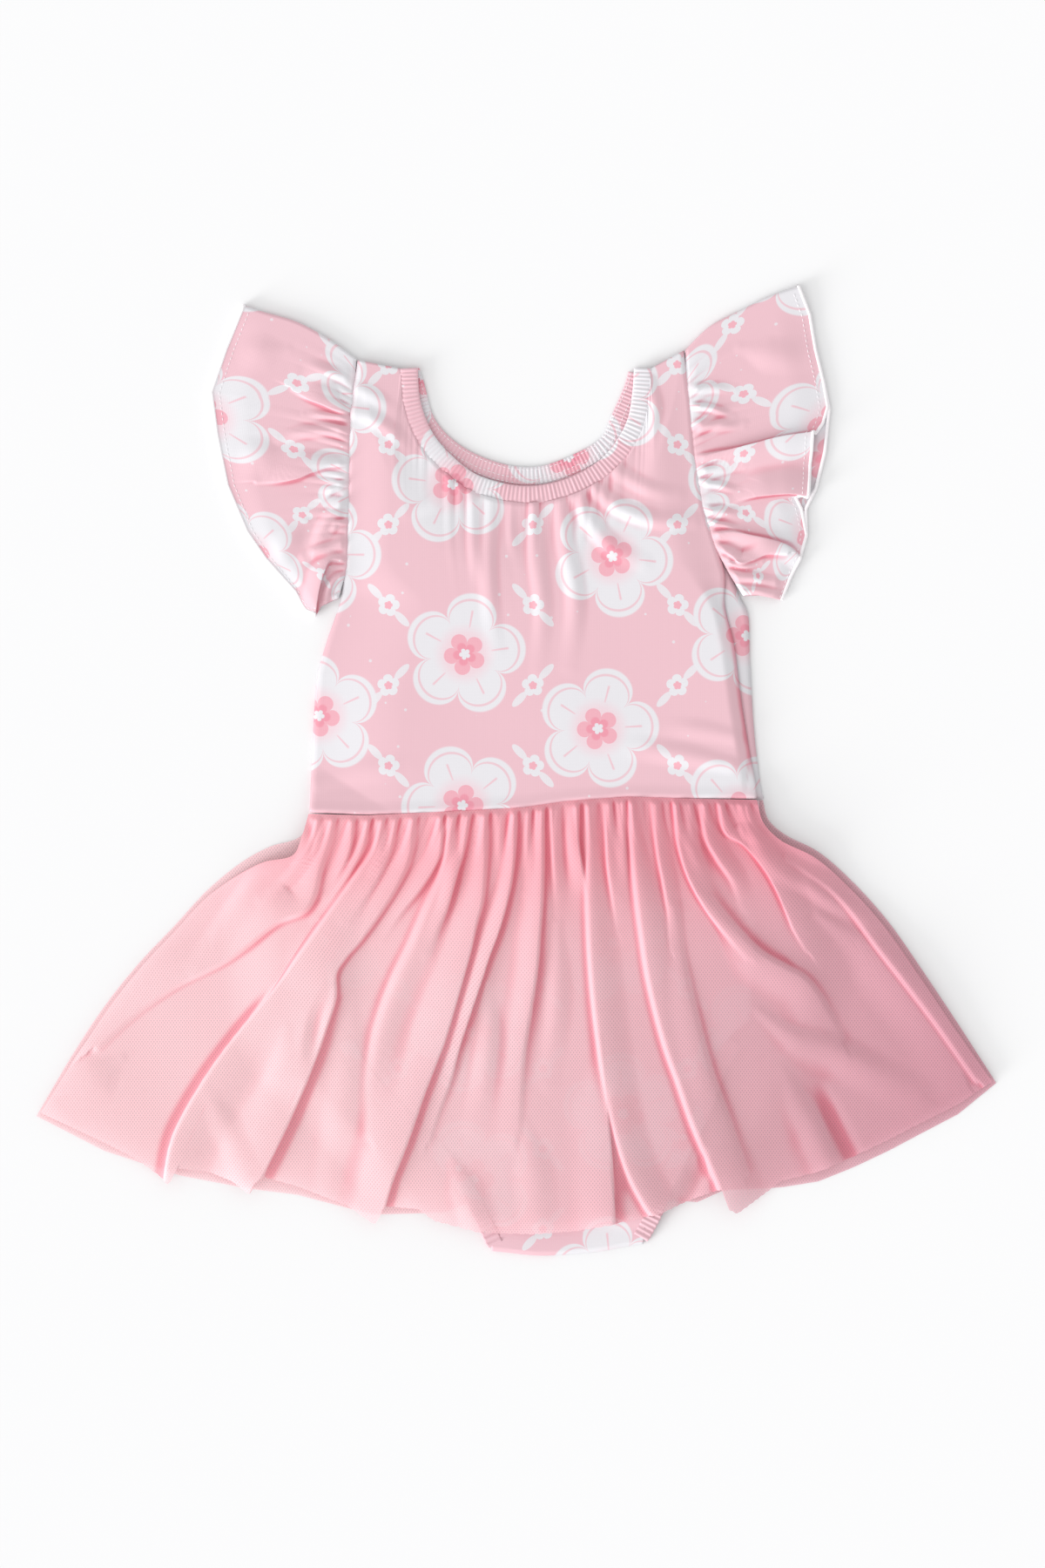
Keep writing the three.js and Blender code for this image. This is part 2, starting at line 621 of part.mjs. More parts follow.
// A flutter sleeve: one strip gathered into the armhole, its back layer flat on the surface,
// turned over at the top edge, and its front layer in pleats
function sleeve({ seam, topEdge, lower, frontHem, backHem, folds }) {
  const crests = folds.map(crestOf);
  const columns = 2 * sleeveGathers.count;
  const backColumns = 12;
  const rows = 7;
  const outerRadius = (sleeveFrontRest + gatheredWall) / 2;
  const innerRadius = outerRadius - gatheredWall;
  const high = linesAlong(seam);
  const left = curveAlong(topEdge);
  const front = { high, low: linesAlong(frontHem), left, right: linesAlong(lower) };
  const back = { high, low: linesAlong(backHem), left, right: linesAlong([...lower.slice(0, -1), backHem.at(-1)]) };
  const stations = [];
  for (let k = 0; k <= backColumns; k += 1) stations.push({ layer: 'back', u: 1 - k / backColumns });
  for (const turn of [-0.25, 0, 0.25]) stations.push({ layer: 'turn', angle: Math.PI * turn });
  for (let k = 0; k <= columns; k += 1) stations.push({ layer: 'front', u: k / columns });
  const place = ({ layer, u, angle }, v, isOuter) => {
    if (layer === 'back') return [...panelPoint(back, u, v), isOuter ? 0 : gatheredWall];
    if (layer === 'turn') {
      const radius = isOuter ? outerRadius : innerRadius;
      const [x, y] = panelPoint(front, 0, v);
      const [insideX, insideY] = panelPoint(front, 0.03, v);
      const reach = (radius * Math.cos(angle)) / Math.hypot(x - insideX, y - insideY);
      return [x + (x - insideX) * reach, y + (y - insideY) * reach, outerRadius + radius * Math.sin(angle)];
    }
    const [x, y] = panelPoint(front, u, v);
    const nearTurn = smooth(u / 0.12);
    const atSeam = 0.3 + 0.7 * smooth(v / 0.1);
    const gathers = gatherHeight(sleeveGathers.count, sleeveGathers.rise, sleeveGathers.reach, u, v);
    const lift = nearTurn * atSeam * (gathers + foldHeight(crests, x, y));
    return [x, y, sleeveFrontRest + lift + (isOuter ? gatheredWall : 0)];
  };
  const grid = (isOuter) => stations.map((station) => {
    const line = [];
    for (let j = 0; j <= rows; j += 1) line.push(place(station, j / rows, isOuter));
    return line;
  });
  return wallBetween(grid(true), grid(false));
}

const besideArmhole = (rows, shift) => [...rows].reverse().map(([x, y]) => [x + shift, y]);
const leftSleeve = {
  seam: [leftSleeveTop[0], ...besideArmhole(leftArmhole.slice(1, -1), -0.6), leftSleeveLower[0]],
  topEdge: leftSleeveTop,
  lower: leftSleeveLower,
  frontHem: leftSleeveFrontHem,
  backHem: leftSleeveBackHem,
  folds: leftSleeveFolds,
};
const rightSleeve = {
  seam: [rightSleeveTop[0], ...besideArmhole(rightArmhole.slice(0, -1), 0.6), [99.8, 114.8], rightSleeveLower[0]],
  topEdge: rightSleeveTop,
  lower: rightSleeveLower,
  frontHem: rightSleeveFrontHem,
  backHem: rightSleeveBackHem,
  folds: rightSleeveFolds,
};

// The garment
const leotard = new THREE.Group();

function add(name, geometry, material) {
  const piece = new THREE.Mesh(geometry, material);
  piece.name = name;
  leotard.add(piece);
}

add('bodice_back', bodiceBack(), knitPink);
add('bodice_front', bodiceFront(), knitPink);
add('neck_band_back', neckBand(backNeckCurve, neckBandWidth + 0.2, neckRibs.backCount, () => 0, 1.2), knitPink);
add('neck_band_front', neckBand(frontNeckCurve, neckBandWidth, neckRibs.frontCount, frontBandRest, 1.4), knitPink);
add('sleeve_left', sleeve(leftSleeve), knitPink);
add('sleeve_right', sleeve(rightSleeve), knitPink);
add('brief_back', briefPanel(restOnBack), knitPink);
add('brief_front', briefPanel(restOnBriefBack), knitPink);
add('leg_band_left', legBand(legLeftCurve, -1), knitPink);
add('leg_band_right', legBand(legRightCurve, 1), knitPink);
add('skirt_back', skirtBack(), meshPink);
add('skirt_front', skirtFront(), meshPink);

export default leotard;
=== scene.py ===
# %% [markdown]
# A toddler's skirted leotard, laid flat and face up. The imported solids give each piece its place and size.
# Every piece here is a fine cloth surface on the form of its solid, worked out with numpy from the same
# outlines and folds. Sizes are in millimetres until a mesh is made, because a dressmaker measures so.

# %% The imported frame
import bmesh
import bpy
import numpy as np
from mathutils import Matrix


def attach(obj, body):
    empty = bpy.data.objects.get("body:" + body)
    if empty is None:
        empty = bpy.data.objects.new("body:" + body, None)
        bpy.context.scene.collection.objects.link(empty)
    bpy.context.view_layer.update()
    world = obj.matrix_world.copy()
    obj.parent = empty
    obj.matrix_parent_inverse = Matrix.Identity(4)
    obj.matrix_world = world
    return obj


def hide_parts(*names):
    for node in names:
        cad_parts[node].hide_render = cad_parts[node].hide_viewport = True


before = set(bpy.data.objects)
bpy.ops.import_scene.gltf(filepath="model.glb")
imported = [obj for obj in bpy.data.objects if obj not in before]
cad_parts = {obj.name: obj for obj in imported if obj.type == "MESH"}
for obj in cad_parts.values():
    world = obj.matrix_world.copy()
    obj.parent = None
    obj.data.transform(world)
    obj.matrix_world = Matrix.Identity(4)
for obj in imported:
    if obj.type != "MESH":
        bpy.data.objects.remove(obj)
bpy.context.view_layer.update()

MM = 0.001

# %% [markdown]
# Cloth has an order: the back layers lie on the surface, the brief lies on them, and the skirt's front layer
# rides over the brief. A layer's height is worked out from the ones below, as in a pile of fabric.

# %% Walls and layers
knit_wall = 1.0
gathered_wall = 1.2
net_wall = 1.4
seam_gap = 0.3
neck_band_width = 9
leg_band_width = 8
rest_on_back = knit_wall + seam_gap
rest_on_brief_back = rest_on_back + knit_wall + seam_gap
rest_on_brief = rest_on_brief_back + knit_wall + seam_gap
sleeve_front_rest = 1.8

# %% [markdown]
# The outlines come from the garment as it lies. Each row is a point on an edge, x then y, measured from the
# middle of the waist seam. A dressmaker would trace a laid garment in the same way, with a point wherever
# the edge turns.

# %% Outlines of the bodice and neck
waist_seam = [
    (-112, -3.6), (-83.5, -4.8), (-48.7, -3.5), (-5.2, -1.2), (16.5, 2), (47, 4.3), (73, 3.5), (116, 3.2),
]
front_neck = [
    (-57.4, 219.1), (-56.1, 202.2), (-50, 186.1), (-40, 174.3), (-27, 164.8), (-5.2, 159.6),
    (12.2, 161.7), (27.4, 168.3), (37, 176.1), (46.6, 191.3), (49.6, 206.5), (50.4, 219.1),
]
back_neck = [
    (-57, 219.1), (-54.3, 210.9), (-48.7, 192.6), (-35.7, 179.6), (-13.9, 170.4), (3.5, 169.6),
    (20.9, 175.7), (33.9, 183.9), (39.6, 195.7), (46.1, 210.9), (47.8, 217.4),
]
left_armhole = [(-96.1, 102.2), (-93.9, 119.6), (-93, 150), (-92.2, 184.8), (-90.9, 197.8), (-87.4, 222.2)]
right_armhole = [(91.3, 130.4), (85.2, 150), (80.9, 176.1), (78.7, 202.2), (75.2, 227)]
bodice_left = [(-111.3, -3.2), (-109.6, 37), (-107.4, 65.2), (-102.6, 82.6), *left_armhole]
bodice_front_right = [
    (111.3, 3.6), (111, 10.9), (108.7, 23.9), (104.3, 50), (100.4, 80.4), (95.8, 100), (95.6, 116),
    *right_armhole,
]
bodice_back_right = [
    (115.2, 3.6), (113.9, 8.7), (110.4, 37), (108.3, 71.7), (107, 97), (103.6, 103.4), (99.1, 114.3),
    *right_armhole,
]

# %% Outlines of the brief
leg_left = [(-100, -112), (-88, -135), (-70, -155), (-50, -175), (-35, -195), (-26, -213), (-22, -221.5)]
leg_right = [(107, -115), (95, -135), (90, -150), (80, -170), (70, -190), (63.5, -206), (57, -218)]
brief_side_left = [(-108.5, -4.4), (-104.5, -60), (-101.5, -104)]
brief_side_right = [(113, 2.8), (111, -60), (108.5, -107)]
crotch_edge = [(3.5, -224.3), (33.9, -222.2)]

# %% Outlines of the skirt
skirt_back_left = [
    (-111.3, -4), (-116.1, -15.2), (-131.3, -20.4), (-144.3, -27.4), (-161.7, -41.3), (-179.1, -60),
    (-196.5, -78.3), (-213.9, -100), (-229.1, -123), (-240, -141.3), (-247.8, -154.8),
]
skirt_back_right = [
    (114.8, 2.8), (117.4, -6.5), (125.2, -13.9), (142.6, -23), (160, -38.3), (177.4, -57.8),
    (194.8, -82.6), (212.2, -108.7), (231.3, -138.3),
]
skirt_back_hem = [
    (-247.8, -154.8), (-213.9, -172.2), (-176, -184.5), (-142, -191), (-118, -194), (-80, -204), (-45, -203),
    (-25, -196), (62, -196), (82, -197.8), (95, -192), (124, -190.4), (142.6, -187.4), (160, -180.4),
    (177.4, -172.2), (194.8, -163), (212.2, -153.9), (231.3, -138.3),
]
skirt_front_left = [
    (-111.8, -4), (-115.3, -16), (-119.5, -24.5), (-134, -28), (-147, -34.5), (-163, -46), (-178.6, -62.5),
    (-195.6, -80.6), (-212.6, -101.8), (-227.6, -124.3), (-238.6, -142), (-245.6, -153),
]
skirt_front_right = [
    (111.5, 3), (114.6, -8), (122.6, -16.6), (140.8, -26), (158, -41), (175.2, -60.2), (192.6, -85),
    (210, -110.6), (229, -137.4),
]
skirt_front_hem = [
    (-245.6, -153), (-213.9, -167.8), (-196.5, -176.8), (-180.4, -188.8), (-176.1, -180.6), (-161.7, -182.4),
    (-150, -187), (-142.2, -193), (-135.7, -184.6), (-118.3, -189.4), (-92.2, -199.4), (-80, -208.2),
    (-76.1, -199.4), (-57.4, -200.8), (-48.7, -206.8), (-25.7, -212.6), (0, -213.4), (20, -212), (38, -208.6),
    (52, -206), (65.2, -202), (81.7, -195), (94.8, -190.4), (98.3, -200.4), (102.6, -202.6), (116.5, -192.6),
    (123.9, -187), (142.6, -182.4), (160, -174.8), (177.4, -166.4), (194.8, -157.4), (212.2, -148.8),
    (229, -137.4),
]
skirt_flow = [
    (-111.8, -245.6), (-83.5, -207), (-72.6, -180.4), (-44, -142.2), (-22.6, -80), (-6, -45), (4, -8),
    (23, 50), (48, 98.3), (66.5, 130), (76, 172), (88, 200), (111.5, 229),
]

# %% Outlines of the sleeves
left_sleeve = {
    "top": [(-88.1, 221.4), (-101.2, 230.8), (-118, 239.9), (-134.8, 245), (-144.6, 248.2)],
    "front hem": [
        (-144.6, 248.2), (-153, 228), (-160.4, 206.5), (-157.6, 185.4), (-152.4, 159.8), (-142.6, 136.8),
        (-133.4, 123.4), (-118.6, 107), (-113.5, 97.5), (-108.3, 94.8),
    ],
    "back hem": [
        (-144.6, 248.2), (-153, 228), (-160.4, 206.5), (-157.8, 185.2), (-153, 159.4), (-143.2, 136.2),
        (-134.2, 122.4), (-118.5, 105.6), (-112.4, 97.5), (-108.3, 96),
    ],
    "lower": [(-96.9, 103.4), (-101, 101.8), (-105.4, 99.4), (-108.3, 94.8)],
}
right_sleeve = {
    "top": [(76, 226), (88.6, 237.8), (103.8, 245.6), (118.7, 252.8), (133, 257.8)],
    "front hem": [
        (133, 257.8), (138, 245), (140.8, 228), (145, 211), (147, 199), (144.6, 191), (139.8, 184),
        (138.2, 170), (137.6, 156), (131, 154), (134, 148), (136.4, 135), (133.4, 124.4), (128, 113),
        (123.9, 102.6),
    ],
    "back hem": [
        (133, 257.8), (138, 245), (140.8, 228), (145, 211), (147.8, 198), (145.6, 176), (141, 158),
        (136, 148), (136.4, 135), (133.4, 124.4), (128, 113), (123.9, 104.8),
    ],
    "lower": [(104.8, 104.6), (112.2, 105), (123.9, 102.6)],
}

# %% [markdown]
# A fold is a crest that runs down the cloth. It rises and dies away along its path, falls gently to one side
# and steeply to the other, and where cloth laps over, the crest leans out past its own foot. One row of
# numbers is enough for each: the path, the rise at its start, middle and end, the reach of each side, and
# the lap. The folds are uneven on purpose, because cloth that lies evenly looks like a moulding.

# %% Folds of each panel
picture_middle = (612, 925)
dots_per_mm = 2.3


def fold(places, rise, left, right, lap=0.0):
    """One fold of cloth: its crest's path, its rise along the way, the reach of its sides, and its lap.

    The path is given in dots of the picture, across and down, where its crest shows.
    """
    path = (np.array(places, float) - picture_middle) * [1, -1] / dots_per_mm
    return {"path": path, "rise": rise, "left": left, "right": right, "lap": lap}


long_skirt_folds = [fold(*row) for row in [
    ([(476, 926), (468, 985), (455, 1015), (437, 1045), (414, 1078), (397, 1098), (386, 1116), (385, 1145),
      (374, 1180), (360, 1220), (338, 1272), (318, 1315), (299, 1352)], (2.7, 4.6, 5.2), 26, 4, 1.8),
    ([(556, 914), (555, 1000), (552, 1035), (546, 1060), (540, 1090), (532, 1120), (521, 1158), (509, 1197),
      (498, 1226), (486, 1257), (474, 1292), (463, 1322), (451, 1352), (439, 1392)],
      (2.7, 3.6, 5.2), 24, 4, 1.8),
    ([(440, 926), (432, 975), (412, 1005), (387, 1040), (362, 1075), (344, 1100), (326, 1126), (300, 1158),
      (272, 1192), (244, 1230), (218, 1272), (200, 1310), (191, 1356)], (2.4, 4.6, 4.6), 4.5, 22, 1.2),
    ([(384, 926), (378, 960), (368, 990), (352, 1040), (318, 1056), (262, 1098), (200, 1130), (150, 1165),
      (112, 1200)], (2.4, 4.2, 1.6), 20, 5, 1),
    ([(520, 926), (510, 1005), (494, 1045), (478, 1085), (460, 1122), (446, 1158), (436, 1195), (430, 1240),
      (428, 1300)], (2.7, 3.2, 0.8), 7, 14),
    ([(592, 914), (588, 1000), (582, 1035), (573, 1068), (562, 1098), (555, 1120), (545, 1150), (535, 1180),
      (527, 1205), (519, 1238), (506, 1275), (495, 1310)], (2.5, 4.0, 0.8), 9, 2.8, 1.8),
    ([(621, 914), (622, 1000), (621, 1040), (619, 1070), (616, 1110), (608, 1165), (602, 1205), (599, 1250),
      (597, 1300)], (2.5, 3.0, 0.6), 13, 3, 1),
    ([(677, 914), (677, 1000), (678, 1050), (680, 1095), (684, 1145), (690, 1195), (697, 1240), (704, 1280),
      (716, 1325), (728, 1355), (745, 1385), (758, 1402)], (2.5, 3.0, 3.2), 5.5, 15, 1),
    ([(690, 1190), (697, 1260), (702, 1310), (704, 1350), (706, 1402)], (0.2, 1.8, 3.0), 22, 2.4, 1.5),
    ([(725, 914), (729, 985), (734, 1030), (740, 1075), (746, 1115), (756, 1160), (768, 1203), (782, 1242),
      (796, 1283), (809, 1315), (824, 1350), (838, 1388)], (2.7, 3.8, 4.4), 6, 20, 1),
    ([(774, 1040), (783, 1110), (796, 1170), (812, 1230), (830, 1280), (852, 1345)], (0.6, 2.4, 1.0), 12, 5),
    ([(775, 914), (780, 970), (788, 1000), (801, 1027), (817, 1052), (835, 1075), (856, 1100)],
      (2.5, 3.4, 0.6), 3, 9, 1.2),
    ([(806, 914), (812, 962), (824, 985), (842, 1012), (852, 1042)], (2.2, 2.8, 0.4), 3.4, 8, 0.6),
    ([(824, 914), (834, 956), (852, 968), (868, 986), (881, 1004), (892, 1024), (901, 1045), (910, 1068),
      (924, 1092)], (2.2, 4.0, 0.8), 2.8, 13, 1.8),
    ([(850, 914), (880, 978), (905, 1002), (930, 1018), (955, 1034), (985, 1052), (1014, 1068)],
      (1.8, 1.8, 0.3), 7, 8),
    ([(868, 914), (890, 952), (912, 966), (936, 980), (962, 1004)], (1.4, 1.8, 0.4), 9, 6),
    ([(812, 1030), (842, 1065), (862, 1086), (880, 1100), (902, 1112), (921, 1123), (936, 1140), (948, 1160),
      (964, 1188)], (0.6, 3.2, 0.6), 18, 5, 0.8),
    ([(940, 1050), (1000, 1090), (1040, 1130), (1075, 1175), (1100, 1222)], (0.4, 2.6, 1.2), 22, 17),
    ([(905, 985), (960, 1024), (1012, 1090), (1070, 1165), (1122, 1238)], (1.0, 2.6, 1.6), 3.4, 16),
    ([(870, 1160), (915, 1192), (960, 1208), (1005, 1230), (1052, 1254)], (0.4, 2.0, 0.4), 15, 11),
    ([(900, 1230), (925, 1280), (950, 1335)], (0.2, 1.4, 1.4), 12, 9),
    ([(935, 1235), (952, 1275), (977, 1326)], (0.0, -1.3, -1.2), 8, 8),
    ([(810, 1322), (800, 1350), (786, 1380)], (-0.6, -2.4, -2.2), 8, 7),
    ([(378, 1128), (366, 1158), (357, 1195), (352, 1230)], (-0.4, -2.2, -0.4), 6, 6),
    ([(345, 926), (345, 972), (325, 986), (300, 1001), (276, 1032), (252, 1066), (226, 1108)],
      (1.4, 2.0, 0.3), 7, 10),
    ([(140, 1215), (106, 1240), (72, 1270)], (0.4, 1.6, 1.0), 14, 15),
    ([(240, 1250), (262, 1300), (282, 1350)], (0.1, 1.3, 1.0), 10, 10),
    ([(330, 1180), (318, 1235), (292, 1290)], (0.2, 1.2, 0.2), 10, 11),
    ([(404, 1130), (400, 1210), (388, 1300), (380, 1370)], (0.2, 1.1, 0.9), 12, 14),
    ([(560, 1130), (562, 1180), (556, 1230), (545, 1290)], (0.3, 1.6, 0.3), 9, 9),
    ([(640, 1060), (640, 1120), (636, 1180), (628, 1240)], (0.5, 1.4, 0.3), 8, 9),
    ([(520, 1330), (534, 1365), (548, 1408)], (0.2, 1.4, 1.2), 11, 11),
    ([(604, 1290), (612, 1340), (618, 1400)], (0.2, 1.2, 0.8), 13, 12),
]]
short_skirt_folds = [fold(*row) for row in [
    ([(366, 926), (362, 962), (350, 985), (330, 1008), (300, 1030)], (1.8, 2.0, 0.3), 5, 5),
    ([(406, 926), (402, 972), (391, 998), (372, 1028)], (1.8, 2.6, 0.3), 6, 3, 0.8),
    ([(424, 926), (418, 970), (404, 998), (387, 1025), (366, 1054)], (1.8, 2.4, 0.4), 5.5, 3, 0.8),
    ([(455, 926), (449, 972), (436, 1002), (419, 1030), (400, 1058)], (1.8, 2.2, 0.3), 6, 3, 0.6),
    ([(506, 926), (505, 978), (498, 996), (481, 1022), (462, 1046), (440, 1080)], (2.2, 3.0, 0.3), 9, 3, 1),
    ([(538, 926), (532, 975), (524, 1005), (514, 1040), (504, 1066), (494, 1096)],
      (2.2, 3.2, 0.3), 5.5, 3, 1.2),
    ([(571, 914), (573, 975), (570, 1008)], (1.6, 1.4, 0.2), 4, 5),
    ([(605, 914), (606, 985), (603, 1025)], (1.6, 1.6, 0.2), 4, 4),
    ([(634, 914), (636, 985), (638, 1022), (640, 1050)], (1.8, 2.2, 0.3), 3, 6, 0.5),
    ([(661, 914), (664, 970), (669, 1000), (676, 1036)], (2.0, 2.8, 0.2), 7.5, 2.8, 1),
    ([(697, 914), (698, 985), (703, 1025), (710, 1070)], (2.0, 2.4, 0.2), 3, 8, 0.8),
    ([(713, 914), (718, 990), (721, 1035)], (1.6, 1.8, 0.2), 5, 3, 0.6),
    ([(750, 914), (756, 980), (762, 1012), (768, 1050), (771, 1090)], (2.0, 2.6, 0.3), 3, 7, 0.8),
    ([(788, 914), (796, 970), (808, 1000), (824, 1028)], (1.8, 1.8, 0.2), 5, 5),
    ([(840, 914), (858, 954), (880, 966)], (1.4, 1.6, 0.2), 4, 6),
]]
skirt_folds = long_skirt_folds + short_skirt_folds
bodice_folds = [fold(*row) for row in [
    ([(546, 578), (545, 625), (550, 680)], (0.8, 0.9, 0.1), 5, 5),
    ([(566, 576), (561, 640), (564, 700), (570, 745)], (1.1, 1.3, 0.2), 7, 6),
    ([(590, 576), (588, 612), (592, 650)], (0.9, 0.8, 0.1), 4, 4),
    ([(612, 576), (616, 640), (622, 700), (618, 768)], (1.1, 1.2, 0.2), 6, 7),
    ([(640, 574), (649, 625), (660, 690), (654, 765)], (1.1, 1.5, 0.2), 7, 7),
    ([(660, 566), (678, 600), (702, 628), (738, 646)], (1.2, 1.6, 0.3), 7, 7),
    ([(678, 556), (712, 585), (752, 598), (796, 598)], (1.2, 1.8, 0.6), 6, 7),
    ([(706, 540), (740, 560), (778, 568)], (0.9, 1.2, 0.3), 6, 6),
    ([(524, 556), (500, 578), (470, 592)], (0.6, 0.8, 0.1), 6, 6),
    ([(396, 474), (424, 480), (452, 498), (474, 520)], (1.2, 1.1, 0.2), 5, 6),
    ([(399, 444), (424, 452), (452, 470)], (0.9, 0.9, 0.2), 5, 5),
    ([(745, 440), (752, 470), (742, 512)], (0.9, 1.2, 0.2), 5, 5),
    ([(838, 878), (780, 866), (706, 856)], (1.0, 1.2, 0.1), 8, 8),
    ([(842, 846), (800, 838), (756, 836)], (0.7, 0.8, 0.1), 7, 7),
    ([(366, 900), (420, 884), (470, 880)], (0.4, 0.7, 0.1), 9, 9),
]]
left_sleeve_folds = [fold(*row) for row in [
    ([(398, 430), (372, 428), (345, 426)], (1.4, 1.4, 0.2), 7, 7),
    ([(398, 473), (384, 470), (368, 464), (350, 457), (336, 450)], (2.4, 3.0, 0.4), 13, 2.6, 1.4),
    ([(398, 481), (375, 478), (350, 475)], (1.8, 1.6, 0.2), 3, 2.6),
    ([(398, 496), (372, 495), (345, 498), (322, 506)], (2.0, 2.0, 0.4), 5, 4),
    ([(398, 531), (378, 535), (360, 542), (344, 549), (322, 554), (296, 556)], (2.6, 3.4, 0.6), 13, 2.6, 1.6),
    ([(398, 556), (384, 562), (369, 573)], (2.2, 1.8, 0.3), 4, 2.4),
    ([(398, 574), (384, 588), (371, 606), (362, 630)], (2.2, 2.6, 0.8), 5, 7),
    ([(398, 600), (388, 603), (379, 613)], (2.0, 1.6, 0.2), 3, 2.4),
    ([(398, 624), (385, 627), (368, 632), (350, 640)], (2.0, 2.2, 0.5), 4, 4),
    ([(394, 643), (380, 643), (373, 657), (367, 678), (363, 704)], (1.2, 4.4, 4.0), 7, 2.6, 2.2),
    ([(396, 661), (386, 665), (378, 675), (374, 690)], (1.2, 2.6, 1.4), 3.4, 3),
    ([(330, 520), (300, 522), (270, 520)], (0.2, 1.3, 0.4), 10, 12),
    ([(350, 600), (330, 622), (312, 650)], (0.3, 1.5, 0.6), 9, 9),
    ([(330, 400), (300, 404), (268, 410)], (0.2, 0.9, 0.2), 12, 12),
]]
right_sleeve_folds = [fold(*row) for row in [
    ([(793, 448), (815, 446), (842, 447)], (2.0, 1.4, 0.2), 4, 4),
    ([(795, 467), (815, 469), (842, 478)], (2.2, 1.6, 0.2), 3, 3),
    ([(797, 490), (820, 489), (852, 488)], (2.2, 1.8, 0.3), 4, 5),
    ([(799, 526), (820, 521), (860, 511), (895, 502), (933, 496)], (1.6, 3.8, 4.0), 13, 2.4, 2.4),
    ([(799, 541), (820, 539), (852, 535)], (2.0, 1.4, 0.2), 4, 4),
    ([(802, 554), (822, 557), (848, 563)], (1.8, 1.4, 0.2), 3, 3),
    ([(836, 577), (860, 572), (885, 569), (910, 568), (932, 572)], (0.6, 3.4, 3.8), 2.4, 13, 2),
    ([(806, 586), (826, 588), (852, 592)], (2.2, 1.6, 0.3), 4, 4),
    ([(810, 599), (830, 603), (852, 608)], (1.8, 1.4, 0.2), 2.4, 2.4),
    ([(816, 614), (840, 611), (862, 615), (885, 620), (905, 627), (918, 638)], (1.6, 2.8, 1.8), 8, 2.4, 1.4),
    ([(822, 629), (838, 637), (850, 646), (864, 643), (880, 637), (902, 638)], (2.0, 3.2, 1.6), 2.4, 6, 1.4),
    ([(826, 642), (840, 648), (856, 651), (874, 646)], (1.6, 2.0, 0.4), 2.4, 4, 0.6),
    ([(838, 662), (860, 664), (888, 668)], (1.8, 1.8, 0.8), 4, 4),
    ([(846, 677), (866, 678), (892, 684)], (1.6, 1.8, 0.8), 4, 4),
    ([(850, 400), (885, 408), (925, 408)], (0.2, 1.2, 0.4), 11, 11),
]]
all_folds = skirt_folds + bodice_folds + left_sleeve_folds + right_sleeve_folds
print("folds laid by hand:", len(all_folds))

# %% [markdown]
# An edge that was drawn with a few points is made smooth by a spline that passes through them all. The
# centripetal kind is used, because it never loops or overshoots between points that are unevenly spaced.
# Every edge then becomes a function from a share of its length, 0 to 1, to a place.

# %% Edges as functions
def unit(vectors):
    """Each vector at a length of one."""
    return vectors / np.linalg.norm(vectors, axis=-1, keepdims=True)


def reach_of(points):
    """How far along a line each of its points is."""
    return np.concatenate([[0], np.cumsum(np.linalg.norm(np.diff(points, axis=0), axis=1))])


def rounded(rows, steps=24):
    """Points on a smooth line through the rows.

    Between two rows the line is a cubic whose slopes come from the rows on both sides, each weighed by the
    square root of the distance to it.
    """
    rows = np.array(rows, float)
    rows = np.vstack([2 * rows[0] - rows[1], rows, 2 * rows[-1] - rows[-2]])
    before, start, end, after = rows[:-3], rows[1:-2], rows[2:-1], rows[3:]
    spans = ((before, start), (start, end), (end, after))
    back, here, on = (np.sqrt(np.linalg.norm(b - a, axis=1))[:, None] for a, b in spans)
    slope_in = ((start - before) / back - (end - before) / (back + here) + (end - start) / here) * here
    slope_out = ((end - start) / here - (after - start) / (here + on) + (after - end) / on) * here
    square = 3 * (end - start) - 2 * slope_in - slope_out
    cube = 2 * (start - end) + slope_in + slope_out
    t = np.linspace(0, 1, steps, endpoint=False)[None, :, None]
    points = start[:, None] + slope_in[:, None] * t + square[:, None] * t**2 + cube[:, None] * t**3
    return np.vstack([points.reshape(-1, 2), rows[-2]])


def edge(points):
    """A function from a share of the line's length to the point there."""
    points = np.array(points, float)
    reach = reach_of(points)
    share = reach / reach[-1]
    return lambda t: np.stack([np.interp(t, share, points[:, 0]), np.interp(t, share, points[:, 1])], -1)


def ahead_of(line, t):
    """The direction of travel along a line, from just behind each place to just past it."""
    return unit(line(np.clip(t + 0.01, 0, 1)) - line(np.clip(t - 0.01, 0, 1)))


def beside(line, t, distance):
    """Points a distance to the right of travel along a line: its direction turned a quarter, and added."""
    ahead = ahead_of(line, t)
    return line(t) + np.stack([ahead[..., 1], -ahead[..., 0]], -1) * np.asarray(distance)[..., None]


def read_table(rows, x):
    """The second column of a table where the first is x, straight between rows."""
    rows = np.array(rows, float)
    return np.interp(x, rows[:, 0], rows[:, 1])


def mix(a, b, share):
    """A blend: a where share is 0, b where it is 1."""
    return a + (b - a) * share


def smooth(t):
    """A soft step: 3 t squared less 2 t cubed, held at 0 and 1 outside."""
    t = np.clip(t, 0, 1)
    return t * t * (3 - 2 * t)


# %% [markdown]
# A cut panel has four edges. Its inside is found by running straight from the high edge to the low one, and
# then drawing the cloth to the shape of the side edges near them. How fast that pull dies away is the
# panel's hold: 1 keeps it right across, and more keeps it to the sides, as in a skirt that hangs free.

